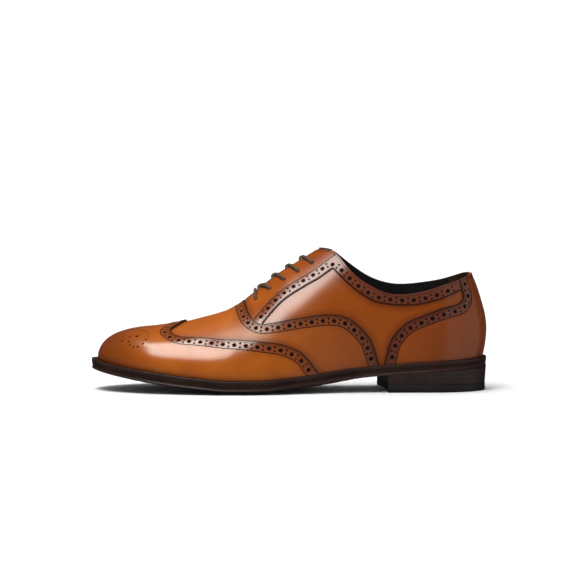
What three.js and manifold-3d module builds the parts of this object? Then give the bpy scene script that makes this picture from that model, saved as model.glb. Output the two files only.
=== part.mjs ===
// A man's left brogue oxford, standing empty on its sole: outsole, welt, stacked heel, insole,
// one hollow upper with its wing cap, vamp, facings and counter laid over it, tongue and laces.
// Millimetres. +X points to the toe, +Y to the outer side of the foot and +Z up, and the origin
// lies on the floor under the middle of the sole.
import * as THREE from "three";
import { mergeVertices } from "three/addons/utils/BufferGeometryUtils.js";
import Module from "manifold-3d";

const wasm = await Module();
wasm.setup();

// Driving dimensions
const upperLength = 294.2; // the feather line, where upper meets welt, from heel to toe
const ballWidth = 92; // across the feather line at the ball of the foot
const instepHeight = 92; // crest of the upper over the welt, at the top of the throat
const counterHeight = 64; // back of the collar over the welt
const backBulge = 2.6; // how far the heel curves out behind its feather line
const heelRound = 44; // length over which the heel closes round the back
const toeRound = 42; // length over which the toe closes in plan
const toeDrop = 36; // length over which the toe closes in height
const wall = 2; // upper leather and lining together
const vampLeather = 0.8; // step of the vamp over the quarters
const capLeather = 1.2; // wing cap over the vamp
const counterLeather = 0.9;
const facingLeather = 0.8; // lace stay and collar strip
const tongueLeather = 2.2;
const gap = 0.3; // clearance between pieces that meet
const weltThickness = 2.5;
const outsoleThickness = 5;
const edgeLift = 2.6; // outsole's edge over the floor beside the ball
const seatRise = 15.6; // welt at the heel over welt at the ball
const toeSpring = 14.4; // welt at the toe over welt at the ball
const heelOverhang = 3.7; // sole beyond the feather line
const waistOverhang = 3.2;
const ballOverhang = 7;
const weltSeat = 8; // how far the welt reaches in under the upper
const insoleThickness = 2.4;
const liftThickness = 6; // rubber top piece of the heel
const heelLengthOuter = 77;
const heelLengthInner = 83;
const breastBow = 2.5; // hollow of the heel's front face
const heelTaper = 0.8;
const soleBevel = 0.9;
const slitFront = 2.4; // gap between the facings at the vamp
const slitTop = 5.5; // and at the collar
const laceDiameter = 2.4;
const eyeletDiameter = 3.6;
const eyeletRows = 5;

// Sections of the upper. at: share of upperLength from the heel. outer, inner: half widths at the
// feather line in ballWidth. crest: height in instepHeight. full: roundness of the sides.
// tuckOuter, tuckInner: how much the side bulges past the feather line. lean: crest to the inner side.
const sections = [
  { at: 0.0, outer: 0.318, inner: 0.318, crest: 1.42, full: 2.0, tuckOuter: 0.08, tuckInner: 0.08, lean: 0.0 },
  { at: 0.14, outer: 0.322, inner: 0.318, crest: 1.38, full: 2.0, tuckOuter: 0.08, tuckInner: 0.1, lean: 0.0 },
  { at: 0.28, outer: 0.335, inner: 0.3, crest: 1.24, full: 1.9, tuckOuter: 0.07, tuckInner: 0.14, lean: 0.01 },
  { at: 0.38, outer: 0.374, inner: 0.272, crest: 1.08, full: 1.7, tuckOuter: 0.06, tuckInner: 0.18, lean: 0.03 },
  { at: 0.43, outer: 0.41, inner: 0.282, crest: 1.004, full: 1.6, tuckOuter: 0.05, tuckInner: 0.17, lean: 0.04 },
  { at: 0.48, outer: 0.445, inner: 0.312, crest: 0.922, full: 1.52, tuckOuter: 0.05, tuckInner: 0.15, lean: 0.05 },
  { at: 0.535, outer: 0.482, inner: 0.358, crest: 0.828, full: 1.5, tuckOuter: 0.05, tuckInner: 0.12, lean: 0.06 },
  { at: 0.58, outer: 0.504, inner: 0.398, crest: 0.725, full: 1.52, tuckOuter: 0.05, tuckInner: 0.1, lean: 0.068 },
  { at: 0.62, outer: 0.516, inner: 0.432, crest: 0.622, full: 1.6, tuckOuter: 0.055, tuckInner: 0.08, lean: 0.073 },
  { at: 0.66, outer: 0.52, inner: 0.46, crest: 0.543, full: 1.7, tuckOuter: 0.06, tuckInner: 0.07, lean: 0.076 },
  { at: 0.72, outer: 0.507, inner: 0.48, crest: 0.466, full: 1.85, tuckOuter: 0.06, tuckInner: 0.06, lean: 0.075 },
  { at: 0.8, outer: 0.458, inner: 0.462, crest: 0.378, full: 2.0, tuckOuter: 0.06, tuckInner: 0.06, lean: 0.06 },
  { at: 0.88, outer: 0.392, inner: 0.408, crest: 0.31, full: 2.1, tuckOuter: 0.07, tuckInner: 0.07, lean: 0.035 },
  { at: 0.94, outer: 0.342, inner: 0.352, crest: 0.287, full: 2.15, tuckOuter: 0.07, tuckInner: 0.07, lean: 0.015 },
  { at: 1.0, outer: 0.318, inner: 0.322, crest: 0.286, full: 2.2, tuckOuter: 0.06, tuckInner: 0.06, lean: 0.0 },
];

// Rise of the welt. at: share of upperLength. heel: share of seatRise. toe: share of toeSpring.
// A share under nought counts as nought, which keeps the tread under the ball quite flat.
const rises = [
  { at: -0.0125, heel: 1.0, toe: -0.01 },
  { at: 0.04, heel: 0.93, toe: -0.01 },
  { at: 0.12, heel: 0.843, toe: -0.01 },
  { at: 0.22, heel: 0.725, toe: -0.01 },
  { at: 0.3, heel: 0.6, toe: -0.01 },
  { at: 0.375, heel: 0.44, toe: -0.01 },
  { at: 0.43, heel: 0.285, toe: -0.01 },
  { at: 0.48, heel: 0.173, toe: -0.01 },
  { at: 0.53, heel: 0.07, toe: -0.01 },
  { at: 0.565, heel: 0.01, toe: -0.01 },
  { at: 0.59, heel: -0.01, toe: -0.01 },
  { at: 0.66, heel: -0.01, toe: -0.01 },
  { at: 0.69, heel: -0.01, toe: 0.035 },
  { at: 0.735, heel: -0.01, toe: 0.12 },
  { at: 0.785, heel: -0.01, toe: 0.22 },
  { at: 0.86, heel: -0.01, toe: 0.42 },
  { at: 0.94, heel: -0.01, toe: 0.645 },
  { at: 1.0, heel: -0.01, toe: 0.87 },
  { at: 1.024, heel: -0.01, toe: 0.98 },
];

// Back of the heel. at: share of counterHeight over the welt. out: behind the feather line, in backBulge.
const backCurve = [
  { at: 0.0, out: 0 },
  { at: 0.12, out: 0.55 },
  { at: 0.28, out: 1.0 },
  { at: 0.47, out: 0.72 },
  { at: 0.67, out: -0.55 },
  { at: 0.84, out: -1.9 },
  { at: 1.0, out: -3.5 },
  { at: 2.0, out: -11 },
];

// Collar. at: share of upperLength. outer, inner: height of each side's edge over the floor, in collarHeight.
const collarHeight = 107.6;
const collar = [
  { at: -0.06, outer: 0.87, inner: 0.875 },
  { at: 0.034, outer: 0.822, inner: 0.843 },
  { at: 0.063, outer: 0.796, inner: 0.812 },
  { at: 0.1, outer: 0.765, inner: 0.778 },
  { at: 0.15, outer: 0.72, inner: 0.754 },
  { at: 0.2, outer: 0.695, inner: 0.741 },
  { at: 0.25, outer: 0.702, inner: 0.755 },
  { at: 0.3, outer: 0.763, inner: 0.81 },
  { at: 0.348, outer: 0.866, inner: 0.903 },
  { at: 0.37, outer: 0.94, inner: 0.952 },
  { at: 0.386, outer: 0.984, inner: 0.984 },
  { at: 0.412, outer: 0.994, inner: 0.994 },
  { at: 0.445, outer: 0.997, inner: 0.997 },
  { at: 0.5, outer: 1.0, inner: 1.0 },
];

// Edges of the panels on one side, mirrored on the other. at: share of upperLength.
// round: share of the way from the crest down to the feather line.
const wingEdge = [
  { at: 0.772, round: 0 },
  { at: 0.792, round: 0.17 },
  { at: 0.81, round: 0.28 },
  { at: 0.806, round: 0.38 },
  { at: 0.785, round: 0.459 },
  { at: 0.733, round: 0.509 },
  { at: 0.656, round: 0.569 },
  { at: 0.58, round: 0.65 },
  { at: 0.512, round: 0.736 },
  { at: 0.469, round: 0.822 },
  { at: 0.426, round: 1 },
];
const vampEdge = [
  { at: 0.621, round: 0 },
  { at: 0.614, round: 0.26 },
  { at: 0.601, round: 0.418 },
  { at: 0.582, round: 0.502 },
  { at: 0.55, round: 0.543 },
  { at: 0.477, round: 0.591 },
  { at: 0.413, round: 0.644 },
  { at: 0.361, round: 0.71 },
  { at: 0.323, round: 0.791 },
  { at: 0.292, round: 0.88 },
  { at: 0.271, round: 1 },
];
const facingEdge = [
  { at: 0.6, round: 0.6 },
  { at: 0.57, round: 0.511 },
  { at: 0.541, round: 0.452 },
  { at: 0.509, round: 0.414 },
  { at: 0.46, round: 0.4 },
  { at: 0.424, round: 0.402 },
  { at: 0.392, round: 0.39 },
];
const collarEdge = [
  { at: 0.392, round: 0.39 },
  { at: 0.373, round: 0.472 },
  { at: 0.348, round: 0.56 },
  { at: 0.322, round: 0.632 },
  { at: 0.284, round: 0.705 },
  { at: 0.235, round: 0.75 },
  { at: 0.18, round: 0.771 },
  { at: 0.12, round: 0.765 },
  { at: 0.05, round: 0.735 },
];
const counterEdge = [
  { at: 0.05, round: 0.735 },
  { at: 0.05, round: 0.765 },
  { at: 0.062, round: 0.784 },
  { at: 0.103, round: 0.796 },
  { at: 0.155, round: 0.815 },
  { at: 0.207, round: 0.84 },
  { at: 0.243, round: 0.896 },
  { at: 0.254, round: 0.95 },
  { at: 0.26, round: 1 },
];
const tongueEdge = [
  { at: 0.411, round: 0 },
  { at: 0.409, round: 0.12 },
  { at: 0.398, round: 0.26 },
  { at: 0.392, round: 0.36 },
  { at: 0.42, round: 0.4 },
  { at: 0.52, round: 0.38 },
  { at: 0.6, round: 0.34 },
  { at: 0.65, round: 0.3 },
];
const eyeletFront = 0.59; // share of upperLength, first pair
const eyeletBack = 0.445; // last pair
const eyeletRound = 0.228; // share of the way from the crest to the feather line
const throatEnd = 0.634; // front end of the slit, under the vamp

// Helpers for tables and shares
const clamp = (value, low, high) => Math.min(high, Math.max(low, value));
const mix = (a, b, share) => a + (b - a) * share;
const smooth = (share) => share * share * (3 - 2 * share);
const ramp = (value, from, to) => smooth(clamp((value - from) / (to - from), 0, 1));

// The natural cubic spline through a table's rows, as a function of their `at`.
function curveThrough(rows, column) {
  const n = rows.length;
  const x = rows.map((row) => row.at);
  const y = rows.map((row) => row[column]);
  const bend = new Array(n).fill(0);
  const pull = new Array(n).fill(0);
  for (let i = 1; i < n - 1; i++) {
    const left = x[i] - x[i - 1];
    const right = x[i + 1] - x[i];
    const weight = left / (left + right);
    const pivot = weight * bend[i - 1] + 2;
    const kink = (y[i + 1] - y[i]) / right - (y[i] - y[i - 1]) / left;
    bend[i] = (weight - 1) / pivot;
    pull[i] = ((6 * kink) / (left + right) - weight * pull[i - 1]) / pivot;
  }
  const second = new Array(n).fill(0);
  for (let i = n - 2; i > 0; i--) second[i] = bend[i] * second[i + 1] + pull[i];
  return (at) => {
    const t = clamp(at, x[0], x[n - 1]);
    let i = 1;
    while (i < n - 1 && t > x[i]) i++;
    const h = x[i] - x[i - 1];
    const a = (x[i] - t) / h;
    const b = (t - x[i - 1]) / h;
    const curved = (a ** 3 - a) * second[i - 1] + (b ** 3 - b) * second[i];
    return a * y[i - 1] + b * y[i] + (curved * h * h) / 6;
  };
}

const section = Object.fromEntries(
  Object.keys(sections[0])
    .filter((column) => column !== "at")
    .map((column) => [column, curveThrough(sections, column)]),
);
const heelRise = curveThrough(rises, "heel");
const toeRise = curveThrough(rises, "toe");
const backOut = curveThrough(backCurve, "out");
const collarOuter = curveThrough(collar, "outer");
const collarInner = curveThrough(collar, "inner");

// Where things lie along the shoe
const soleLength = upperLength + heelOverhang + ballOverhang;
const backX = -soleLength / 2 + heelOverhang; // the feather line's back end
const ballTop = edgeLift + outsoleThickness + gap + weltThickness;
const soleMiddle = 0.0196 * ballWidth; // the sole's middle, to the outer side of the heel's axis

// Top of the welt over the floor.
function weltTop(x) {
  const at = (x - backX) / upperLength;
  return ballTop + seatRise * clamp(heelRise(at), 0, 1) + toeSpring * clamp(toeRise(at), 0, 1.1);
}

// How much of its width the upper has at a station: it closes round the heel and round the toe.
const heelSquareness = 2.3;
function planShare(s) {
  const fromHeel = clamp((heelRound - s) / heelRound, 0, 1);
  const fromToe = clamp((s - upperLength + toeRound) / toeRound, 0, 1);
  return (1 - fromHeel ** heelSquareness) ** (1 / heelSquareness) * Math.sqrt(1 - fromToe ** 2);
}

// How far the crest lies to the inner side of the heel's axis.
const crestLine = (at) => section.lean(at) * ballWidth;

function crestHeight(s) {
  const drop = clamp((s - upperLength + toeDrop) / toeDrop, 0, 1);
  return section.crest(s / upperLength) * instepHeight * Math.sqrt(1 - drop ** 2);
}

// A walk round the plan, from the heel's back to the toe's tip, in steps of about equal length.
const heelWalk = heelRound * 1.35;
const toeWalk = toeRound * 1.3;
const straightWalk = upperLength - heelRound - toeRound;
const wholeWalk = heelWalk + straightWalk + toeWalk;
const girthUnits = 100; // units from crest to feather line, so that a step is near a millimetre

function stationOf(walk) {
  if (walk < heelWalk) return heelRound * (1 - Math.cos(((walk / heelWalk) * Math.PI) / 2));
  if (walk < heelWalk + straightWalk) return heelRound + walk - heelWalk;
  const share = Math.min(1, (walk - heelWalk - straightWalk) / toeWalk);
  return upperLength - toeRound + toeRound * Math.sin((share * Math.PI) / 2);
}

function walkOf(station) {
  if (station < heelRound) return (heelWalk * Math.acos(1 - station / heelRound) * 2) / Math.PI;
  if (station < upperLength - toeRound) return heelWalk + station - heelRound;
  const share = clamp((station - upperLength + toeRound) / toeRound, 0, 1);
  return heelWalk + straightWalk + (toeWalk * Math.asin(share) * 2) / Math.PI;
}

// The upper's outer face at a walk and a girth: girth runs from the crest, 0, down the outer side
// to girthUnits and down the inner side to -girthUnits. Past either end the walk goes on round
// the other side.
function onUpper(walk, girth) {
  if (walk < 0) return onUpper(-walk, -girth);
  if (walk > wholeWalk) return onUpper(2 * wholeWalk - walk, -girth);
  const s = stationOf(walk);
  const at = s / upperLength;
  const outer = girth >= 0;
  const turn = (clamp(Math.abs(girth) / girthUnits, 0, 1) * Math.PI) / 2;
  const rise = Math.cos(turn) ** (2 / section.full(at));
  const tuck = outer ? section.tuckOuter(at) : section.tuckInner(at);
  const half = (outer ? section.outer(at) : section.inner(at)) * ballWidth * planShare(s);
  const bulge = (1 - tuck * (1 - rise) ** 3) / (1 - tuck);
  const height = crestHeight(s) * rise;
  const nearHeel = clamp((heelRound - s) / heelRound, 0, 1);
  return new THREE.Vector3(
    backX + s - backOut(height / counterHeight) * backBulge * nearHeel,
    (outer ? 1 : -1) * half * Math.sin(turn) * bulge - crestLine(at) * rise ** 1.5 - soleMiddle,
    weltTop(backX + s) + gap + height,
  );
}

// The outward normal there, from small steps either way, never pointing down.
function normalOn(walk, girth) {
  if (walk > wholeWalk - 1e-3) return new THREE.Vector3(1, 0, 0);
  const step = 0.2;
  const high = clamp(girth + step, -girthUnits, girthUnits);
  const low = clamp(girth - step, -girthUnits, girthUnits);
  const along = onUpper(walk + step, girth).sub(onUpper(walk - step, girth));
  const round = onUpper(walk, high).sub(onUpper(walk, low));
  const normal = along.cross(round);
  normal.z = Math.max(normal.z, 0);
  return normal.normalize();
}

// A point at a height over the upper. It keeps its height over the welt where the welt rises.
function offUpper(walk, girth, out) {
  const foot = onUpper(walk, girth);
  const point = foot.clone().addScaledVector(normalOn(walk, girth), out);
  point.z += Math.max(0, weltTop(point.x) - weltTop(foot.x));
  return point;
}

// Grid lines shared by every sheet of the upper, so that sheets lie evenly over each other.
const spaced = (from, to, count) => Array.from({ length: count + 1 }, (_, i) => mix(from, to, i / count));
const instepFrom = walkOf(0.5 * upperLength); // the hollow of the instep takes closer lines
const instepTo = walkOf(0.68 * upperLength);
const walks = [
  ...spaced(0, heelWalk, 6),
  ...spaced(heelWalk, instepFrom, 8).slice(1),
  ...spaced(instepFrom, instepTo, 6).slice(1),
  ...spaced(instepTo, heelWalk + straightWalk, 4).slice(1),
  ...spaced(heelWalk + straightWalk, wholeWalk, 6).slice(1),
];
const girths = spaced(-girthUnits, girthUnits, 20);

// Solids from points
// A closed solid from vertices and triangles; triangles that have closed up are dropped.
function solidFrom(vertices, triangles) {
  const loose = new THREE.BufferGeometry();
  const flat = new Float32Array(vertices.length * 3);
  vertices.forEach((v, i) => v.toArray(flat, i * 3));
  loose.setAttribute("position", new THREE.BufferAttribute(flat, 3));
  loose.setIndex(triangles.flat());
  const merged = mergeVertices(loose, 1e-3);
  const index = merged.index.array;
  const kept = [];
  for (let i = 0; i < index.length; i += 3) {
    const [a, b, c] = [index[i], index[i + 1], index[i + 2]];
    if (a !== b && b !== c && a !== c) kept.push(a, b, c);
  }
  return new wasm.Manifold(
    new wasm.Mesh({
      numProp: 3,
      vertProperties: merged.attributes.position.array,
      triVerts: new Uint32Array(kept),
    }),
  );
}

// A closed sheet between two grids of points, over and under. closedStart leaves out the edge
// wall of the first row, where the grid meets itself.
function sheet(over, under, closedStart = false) {
  const rows = over.length;
  const columns = over[0].length;
  const vertices = [...over.flat(), ...under.flat()];
  const top = (i, j) => i * columns + j;
  const low = (i, j) => rows * columns + i * columns + j;
  const triangles = [];
  const quad = (a, b, c, d) => triangles.push([a, b, c], [a, c, d]);
  for (let i = 0; i < rows - 1; i++)
    for (let j = 0; j < columns - 1; j++) {
      quad(top(i, j), top(i + 1, j), top(i + 1, j + 1), top(i, j + 1));
      quad(low(i, j), low(i, j + 1), low(i + 1, j + 1), low(i + 1, j));
    }
  for (let i = 0; i < rows - 1; i++) {
    quad(top(i + 1, 0), top(i, 0), low(i, 0), low(i + 1, 0));
    quad(top(i, columns - 1), top(i + 1, columns - 1), low(i + 1, columns - 1), low(i, columns - 1));
  }
  for (let j = 0; j < columns - 1; j++) {
    if (!closedStart) quad(top(0, j), top(0, j + 1), low(0, j + 1), low(0, j));
    quad(top(rows - 1, j + 1), top(rows - 1, j), low(rows - 1, j), low(rows - 1, j + 1));
  }
  return solidFrom(vertices, triangles);
}

// An outline drawn on a plane and pushed through it, from one height to another.
function prism(points, from, to) {
  const shape = new THREE.Shape(points.map(([x, y]) => new THREE.Vector2(x, y)));
  const geometry = new THREE.ExtrudeGeometry(shape, { depth: to - from, bevelEnabled: false });
  geometry.translate(0, 0, from);
  return solidOf(geometry);
}

function solidOf(geometry) {
  const bare = geometry.index ? geometry.toNonIndexed() : geometry;
  const position = bare.getAttribute("position");
  const vertices = Array.from({ length: position.count }, (_, i) =>
    new THREE.Vector3().fromBufferAttribute(position, i),
  );
  const triangles = Array.from({ length: position.count / 3 }, (_, i) => [3 * i, 3 * i + 1, 3 * i + 2]);
  return solidFrom(vertices, triangles);
}

function meshOf(name, solid, material) {
  const made = solid.getMesh();
  const geometry = new THREE.BufferGeometry();
  const flat = new Float32Array(made.numVert * 3);
  for (let i = 0; i < made.numVert; i++)
    flat.set(made.vertProperties.subarray(i * made.numProp, i * made.numProp + 3), i * 3);
  geometry.setAttribute("position", new THREE.BufferAttribute(flat, 3));
  geometry.setIndex(new THREE.BufferAttribute(made.triVerts, 1));
  geometry.computeVertexNormals();
  const mesh = new THREE.Mesh(geometry, material);
  mesh.name = name;
  return mesh;
}

// Panels of leather
// The upper's own surface unrolled: walk along, girth across, height over the surface upwards.
// A slight dome keeps its squares from lying in one plane, so that cuts keep them all.
const dome = 1e-3;
const domed = (walk, girth, out) => new THREE.Vector3(walk, girth, out + dome * (walk ** 2 + girth ** 2));
const margin = 12; // how far an outline runs past the ends of the surface

function panel(walkLines, girthLines, outline, low, high, cutAway = []) {
  const face = (out) => walkLines.map((walk) => girthLines.map((girth) => domed(walk, girth, out)));
  const reach = dome * (wholeWalk ** 2 + girthUnits ** 2);
  const through = (points) => prism(points, low - margin, high + reach + margin);
  let flat = sheet(face(high), face(low)).intersect(through(outline));
  for (const other of cutAway) flat = flat.subtract(through(other));
  const made = flat.getMesh();
  const vertices = [];
  for (let i = 0; i < made.numVert; i++) {
    const [walk, girth, raised] = made.vertProperties.subarray(i * made.numProp, i * made.numProp + 3);
    const out = raised - dome * (walk ** 2 + girth ** 2);
    vertices.push(offUpper(walk, girth, out > (low + high) / 2 ? high : low));
  }
  const triangles = [];
  for (let i = 0; i < made.numTri; i++) triangles.push([...made.triVerts.subarray(i * 3, i * 3 + 3)]);
  return solidFrom(vertices, triangles);
}

// The smooth line through a table's rows, as [walk, girth] points.
function edgeLine(rows, steps, side = 1) {
  const points = rows.map(({ at, round }) => new THREE.Vector3(walkOf(at * upperLength), round * girthUnits, 0));
  const line = new THREE.CatmullRomCurve3(points, false, "centripetal");
  return line.getSpacedPoints(steps).map((point) => [point.x, side * point.y]);
}

const mirrored = (points) => points.map(([walk, girth]) => [walk, -girth]).reverse();
const shifted = (points, walk, girth) => points.map((point) => [point[0] + walk, point[1] + girth]);

// The outline of a panel that runs on to the toe, from its rear edge.
function toToe(edge) {
  const foot = edge[edge.length - 1][0];
  const far = wholeWalk + margin;
  const low = girthUnits + margin;
  return [...edge, [foot, low], [far, low], [far, -low], [foot, -low], ...mirrored(edge).slice(0, -1)];
}

// Cutters
// All that lies over the collar's edge.
function collarCutter() {
  const from = collar[0].at;
  const to = collar[collar.length - 1].at;
  const reach = 0.8 * ballWidth;
  const blend = 0.3 * ballWidth;
  const lines = spaced(from, to, 24);
  const across = spaced(-reach, reach, 4);
  const edge = (at, y) => mix(collarInner(at), collarOuter(at), smooth(clamp(0.5 + y / (2 * blend), 0, 1)));
  const place = (at, y, z) => new THREE.Vector3(backX + at * upperLength, y, z);
  const top = 2 * collarHeight;
  const over = lines.map((at) => across.map((y) => place(at, y, top)));
  const under = lines.map((at) => across.map((y) => place(at, y, edge(at, y) * collarHeight)));
  return sheet(over, under);
}

// The gap between the facings, along the crest.
function slitCutter() {
  const points = spaced(eyeletBack / 2, throatEnd, 12).map((at) => {
    const share = clamp((at - eyeletBack) / (throatEnd - eyeletBack), 0, 1);
    const half = mix(slitTop, slitFront, share) / 2;
    const middle = -crestLine(at) - soleMiddle;
    return [backX + at * upperLength, middle, half];
  });
  const outer = points.map(([x, y, half]) => [x, y + half]);
  const inner = points.map(([x, y, half]) => [x, y - half]);
  return prism([...inner, ...outer.reverse()], instepHeight / 2, 2 * collarHeight);
}

// Eyelets
const eyeletAt = (row) => mix(eyeletFront, eyeletBack, row / (eyeletRows - 1));
const eyeletPitch = (eyeletFront - eyeletBack) / (eyeletRows - 1);

function eyeletDrill(row, side) {
  const walk = walkOf(eyeletAt(row) * upperLength);
  const girth = side * eyeletRound * girthUnits;
  const length = 2 * (wall + facingLeather + gap);
  const geometry = new THREE.CylinderGeometry(eyeletDiameter / 2, eyeletDiameter / 2, length, 8);
  const turn = new THREE.Quaternion().setFromUnitVectors(new THREE.Vector3(0, 1, 0), normalOn(walk, girth));
  geometry.applyQuaternion(turn);
  geometry.translate(...offUpper(walk, girth, (facingLeather + gap - wall) / 2).toArray());
  return solidOf(geometry);
}

function drilled(solid, sides) {
  let cut = solid;
  for (let row = 0; row < eyeletRows; row++)
    for (const side of sides) cut = cut.subtract(eyeletDrill(row, side));
  return cut;
}

// Laces
const laceSides = 6;
const laceHeight = gap + facingLeather + gap + laceDiameter / 2;

// One strand from its eyelet to the middle: forward is how far it slants, over how much it is raised
// where strands cross, and past how far it runs beyond the crest, as a share of the eyelet's girth.
function strandPoints(row, side, forward, over, past) {
  const at = eyeletAt(row);
  const hole = eyeletRound * girthUnits;
  const place = (share, girth, out) =>
    offUpper(walkOf((at + forward * share) * upperLength), side * girth, out);
  return [
    place(0, hole * 1.013, laceHeight - gap),
    place(0.14, hole * 0.86, laceHeight),
    place(0.5, hole * 0.5, laceHeight),
    place(0.85, hole * 0.18, laceHeight + over * 0.7),
    place(1, -hole * past, laceHeight + over),
  ];
}

function tube(points, steps) {
  const round = Array.from({ length: laceSides }, (_, i) => {
    const turn = (i / laceSides) * 2 * Math.PI;
    return new THREE.Vector2((laceDiameter / 2) * Math.cos(turn), (laceDiameter / 2) * Math.sin(turn));
  });
  const path = new THREE.CatmullRomCurve3(points, false, "centripetal");
  return solidOf(
    new THREE.ExtrudeGeometry(new THREE.Shape(round), { steps, extrudePath: path, bevelEnabled: false }),
  );
}

function laceBar() {
  const outer = strandPoints(0, 1, 0, 0, 0);
  const inner = strandPoints(0, -1, 0, 0, 0).reverse().slice(1);
  return tube([...outer, ...inner], 14);
}

function laceCrossing(row) {
  const forward = eyeletPitch / 2;
  const past = 0.053;
  const under = tube(strandPoints(row, 1, forward, 0, past), 7);
  const above = tube(strandPoints(row, -1, forward, laceDiameter * 0.5, past), 7);
  return under.add(above);
}

// Sole
function overhang(walk) {
  const at = stationOf(walk) / upperLength;
  const waist = mix(heelOverhang, waistOverhang, ramp(at, 0.2, 0.36));
  return mix(waist, ballOverhang, ramp(at, 0.42, 0.58));
}

// A point on the plan of the feather line, moved out sideways.
function planEdge(walk, side, out) {
  const step = 0.5;
  const here = onUpper(walk, side * girthUnits);
  const along = onUpper(walk + step, side * girthUnits).sub(onUpper(walk - step, side * girthUnits));
  const outward = new THREE.Vector3(-along.y, along.x, 0).multiplyScalar(side).normalize();
  return here.addScaledVector(outward, out).setZ(0);
}

// across runs from the inner edge, -1, to the outer edge, 1.
function planPoint(walk, across, out) {
  return planEdge(walk, -1, out).lerp(planEdge(walk, 1, out), (across + 1) / 2);
}

const crossLines = [-1, -0.78, -0.5, 0.5, 0.78, 1];

// The outsole's walking face: its edges lift off the floor beside a flat middle, and so does all of
// it over the heel and at the toe's tip.
function walkingFace(x, across) {
  const at = (x - backX) / upperLength;
  const beside = ramp(Math.abs(across), 0.5, 1);
  const level = Math.max(beside, 1 - ramp(at, 0.27, 0.42), ramp(at, 0.84, 1));
  return weltTop(x) - ballTop + edgeLift * level;
}

const outsoleTop = (x) => weltTop(x) - weltThickness - gap;

function outsoleSolid() {
  const over = walks.map((walk) =>
    crossLines.map((across) => {
      const point = planPoint(walk, across, overhang(walk));
      return point.setZ(outsoleTop(point.x));
    }),
  );
  const under = walks.map((walk) =>
    crossLines.map((across) => {
      const point = planPoint(walk, across, overhang(walk) - soleBevel);
      return point.setZ(walkingFace(point.x, across));
    }),
  );
  return sheet(over, under);
}

// A ring from sections that follow each other round a closed way.
function ringOf(loops) {
  const count = loops.length;
  const corners = loops[0].length;
  const at = (i, j) => (i % count) * corners + (j % corners);
  const triangles = [];
  for (let i = 0; i < count; i++)
    for (let j = 0; j < corners; j++) {
      triangles.push([at(i, j), at(i + 1, j + 1), at(i + 1, j)]);
      triangles.push([at(i, j), at(i, j + 1), at(i + 1, j + 1)]);
    }
  return solidFrom(loops.flat(), triangles);
}

function weltRing() {
  const way = [
    ...walks.map((walk) => [walk, 1]),
    ...walks.slice(1, -1).map((walk) => [walk, -1]).reverse(),
  ];
  const loops = way.map(([walk, side]) => {
    const out = overhang(walk) - gap;
    const corner = (outward, height) => {
      const point = planEdge(walk, side, outward);
      return point.setZ(outsoleTop(point.x) + gap + height);
    };
    return [
      corner(out, 0),
      corner(out, weltThickness - soleBevel),
      corner(out - soleBevel, weltThickness),
      corner(-weltSeat, weltThickness),
      corner(-weltSeat, 0),
    ];
  });
  return ringOf(loops);
}

function insoleSolid() {
  const inset = -(wall + 3 * gap);
  const face = (height) =>
    walks.map((walk) =>
      [-1, 0, 1].map((across) => {
        const point = planPoint(walk, across, inset);
        return point.setZ(weltTop(point.x) + gap + height);
      }),
    );
  return sheet(face(insoleThickness), face(0));
}

// Heel
const heelOuterWalk = walkOf(heelLengthOuter - heelOverhang);
const heelInnerWalk = walkOf(heelLengthInner - heelOverhang);

// A point of the heel's plan: share runs from its back to its front face, which bows in.
function heelPoint(share, across, out) {
  const inner = planEdge(share * heelInnerWalk, -1, out);
  const outer = planEdge(share * heelOuterWalk, 1, out);
  const point = inner.lerp(outer, (across + 1) / 2);
  point.x -= breastBow * (1 - across ** 2) * share ** 6;
  return point;
}

function heelSolid(outTop, outLow, topAt, lowAt) {
  const shares = spaced(0, 1, 9);
  const face = (out, heightAt) =>
    shares.map((share) =>
      crossLines.map((across) => {
        const point = heelPoint(share, across, out);
        return point.setZ(heightAt(point.x, across));
      }),
    );
  return sheet(face(outTop, topAt), face(outLow, lowAt));
}

// Assembly
const shoe = new THREE.Group();
shoe.name = "brogue_shoe";

const finish = (color, roughness) => new THREE.MeshStandardMaterial({ color, roughness, metalness: 0 });
const tan = finish(0xa8602a, 0.35);
const burnished = finish(0x7a3a20, 0.35);
const edgeBrown = finish(0x3a2a24, 0.45);
const rubber = finish(0x1c1a19, 0.7);
const sockLeather = finish(0x1e1b1a, 0.6);
const cord = finish(0x3c302b, 0.8);

const collarCut = collarCutter();
const slitCut = slitCutter();
const outerGirths = girths.filter((girth) => girth >= 0);
const rearEnd = walkOf(0.5 * upperLength);
const heelWalks = [
  ...walks.filter((walk) => walk > 0 && walk < rearEnd).map((walk) => -walk).reverse(),
  ...walks.filter((walk) => walk < rearEnd),
];

// Upper
const grid = (out) => walks.map((walk) => girths.map((girth) => offUpper(walk, girth, out)));
const dressed = sheet(grid(0), grid(-wall), true).subtract(collarCut).subtract(slitCut);
shoe.add(meshOf("upper", drilled(dressed, [1, -1]), tan));

// Vamp and wing cap
const vampLine = edgeLine(vampEdge, 18);
const vampOutline = toToe(vampLine);
const vampTop = gap + vampLeather;
shoe.add(meshOf("vamp", panel(walks, girths, vampOutline, gap, vampTop), tan));
const wingOutline = toToe(edgeLine(wingEdge, 22));
const wingLow = vampTop + gap;
shoe.add(meshOf("wing_cap", panel(walks, girths, wingOutline, wingLow, wingLow + capLeather), burnished));

// Counter, wrapped round the heel with an ear up to the collar
const counterLine = edgeLine(counterEdge, 12);
const counterHalf = [[counterLine[0][0], 0], ...counterLine, [counterLine.at(-1)[0], girthUnits + margin]];

function counter() {
  const outline = [...counterHalf, ...counterHalf.map(([walk, girth]) => [-walk, girth]).reverse()];
  return panel(heelWalks, outerGirths, outline, gap, gap + counterLeather).subtract(collarCut);
}
shoe.add(meshOf("counter", counter(), tan));

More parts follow.
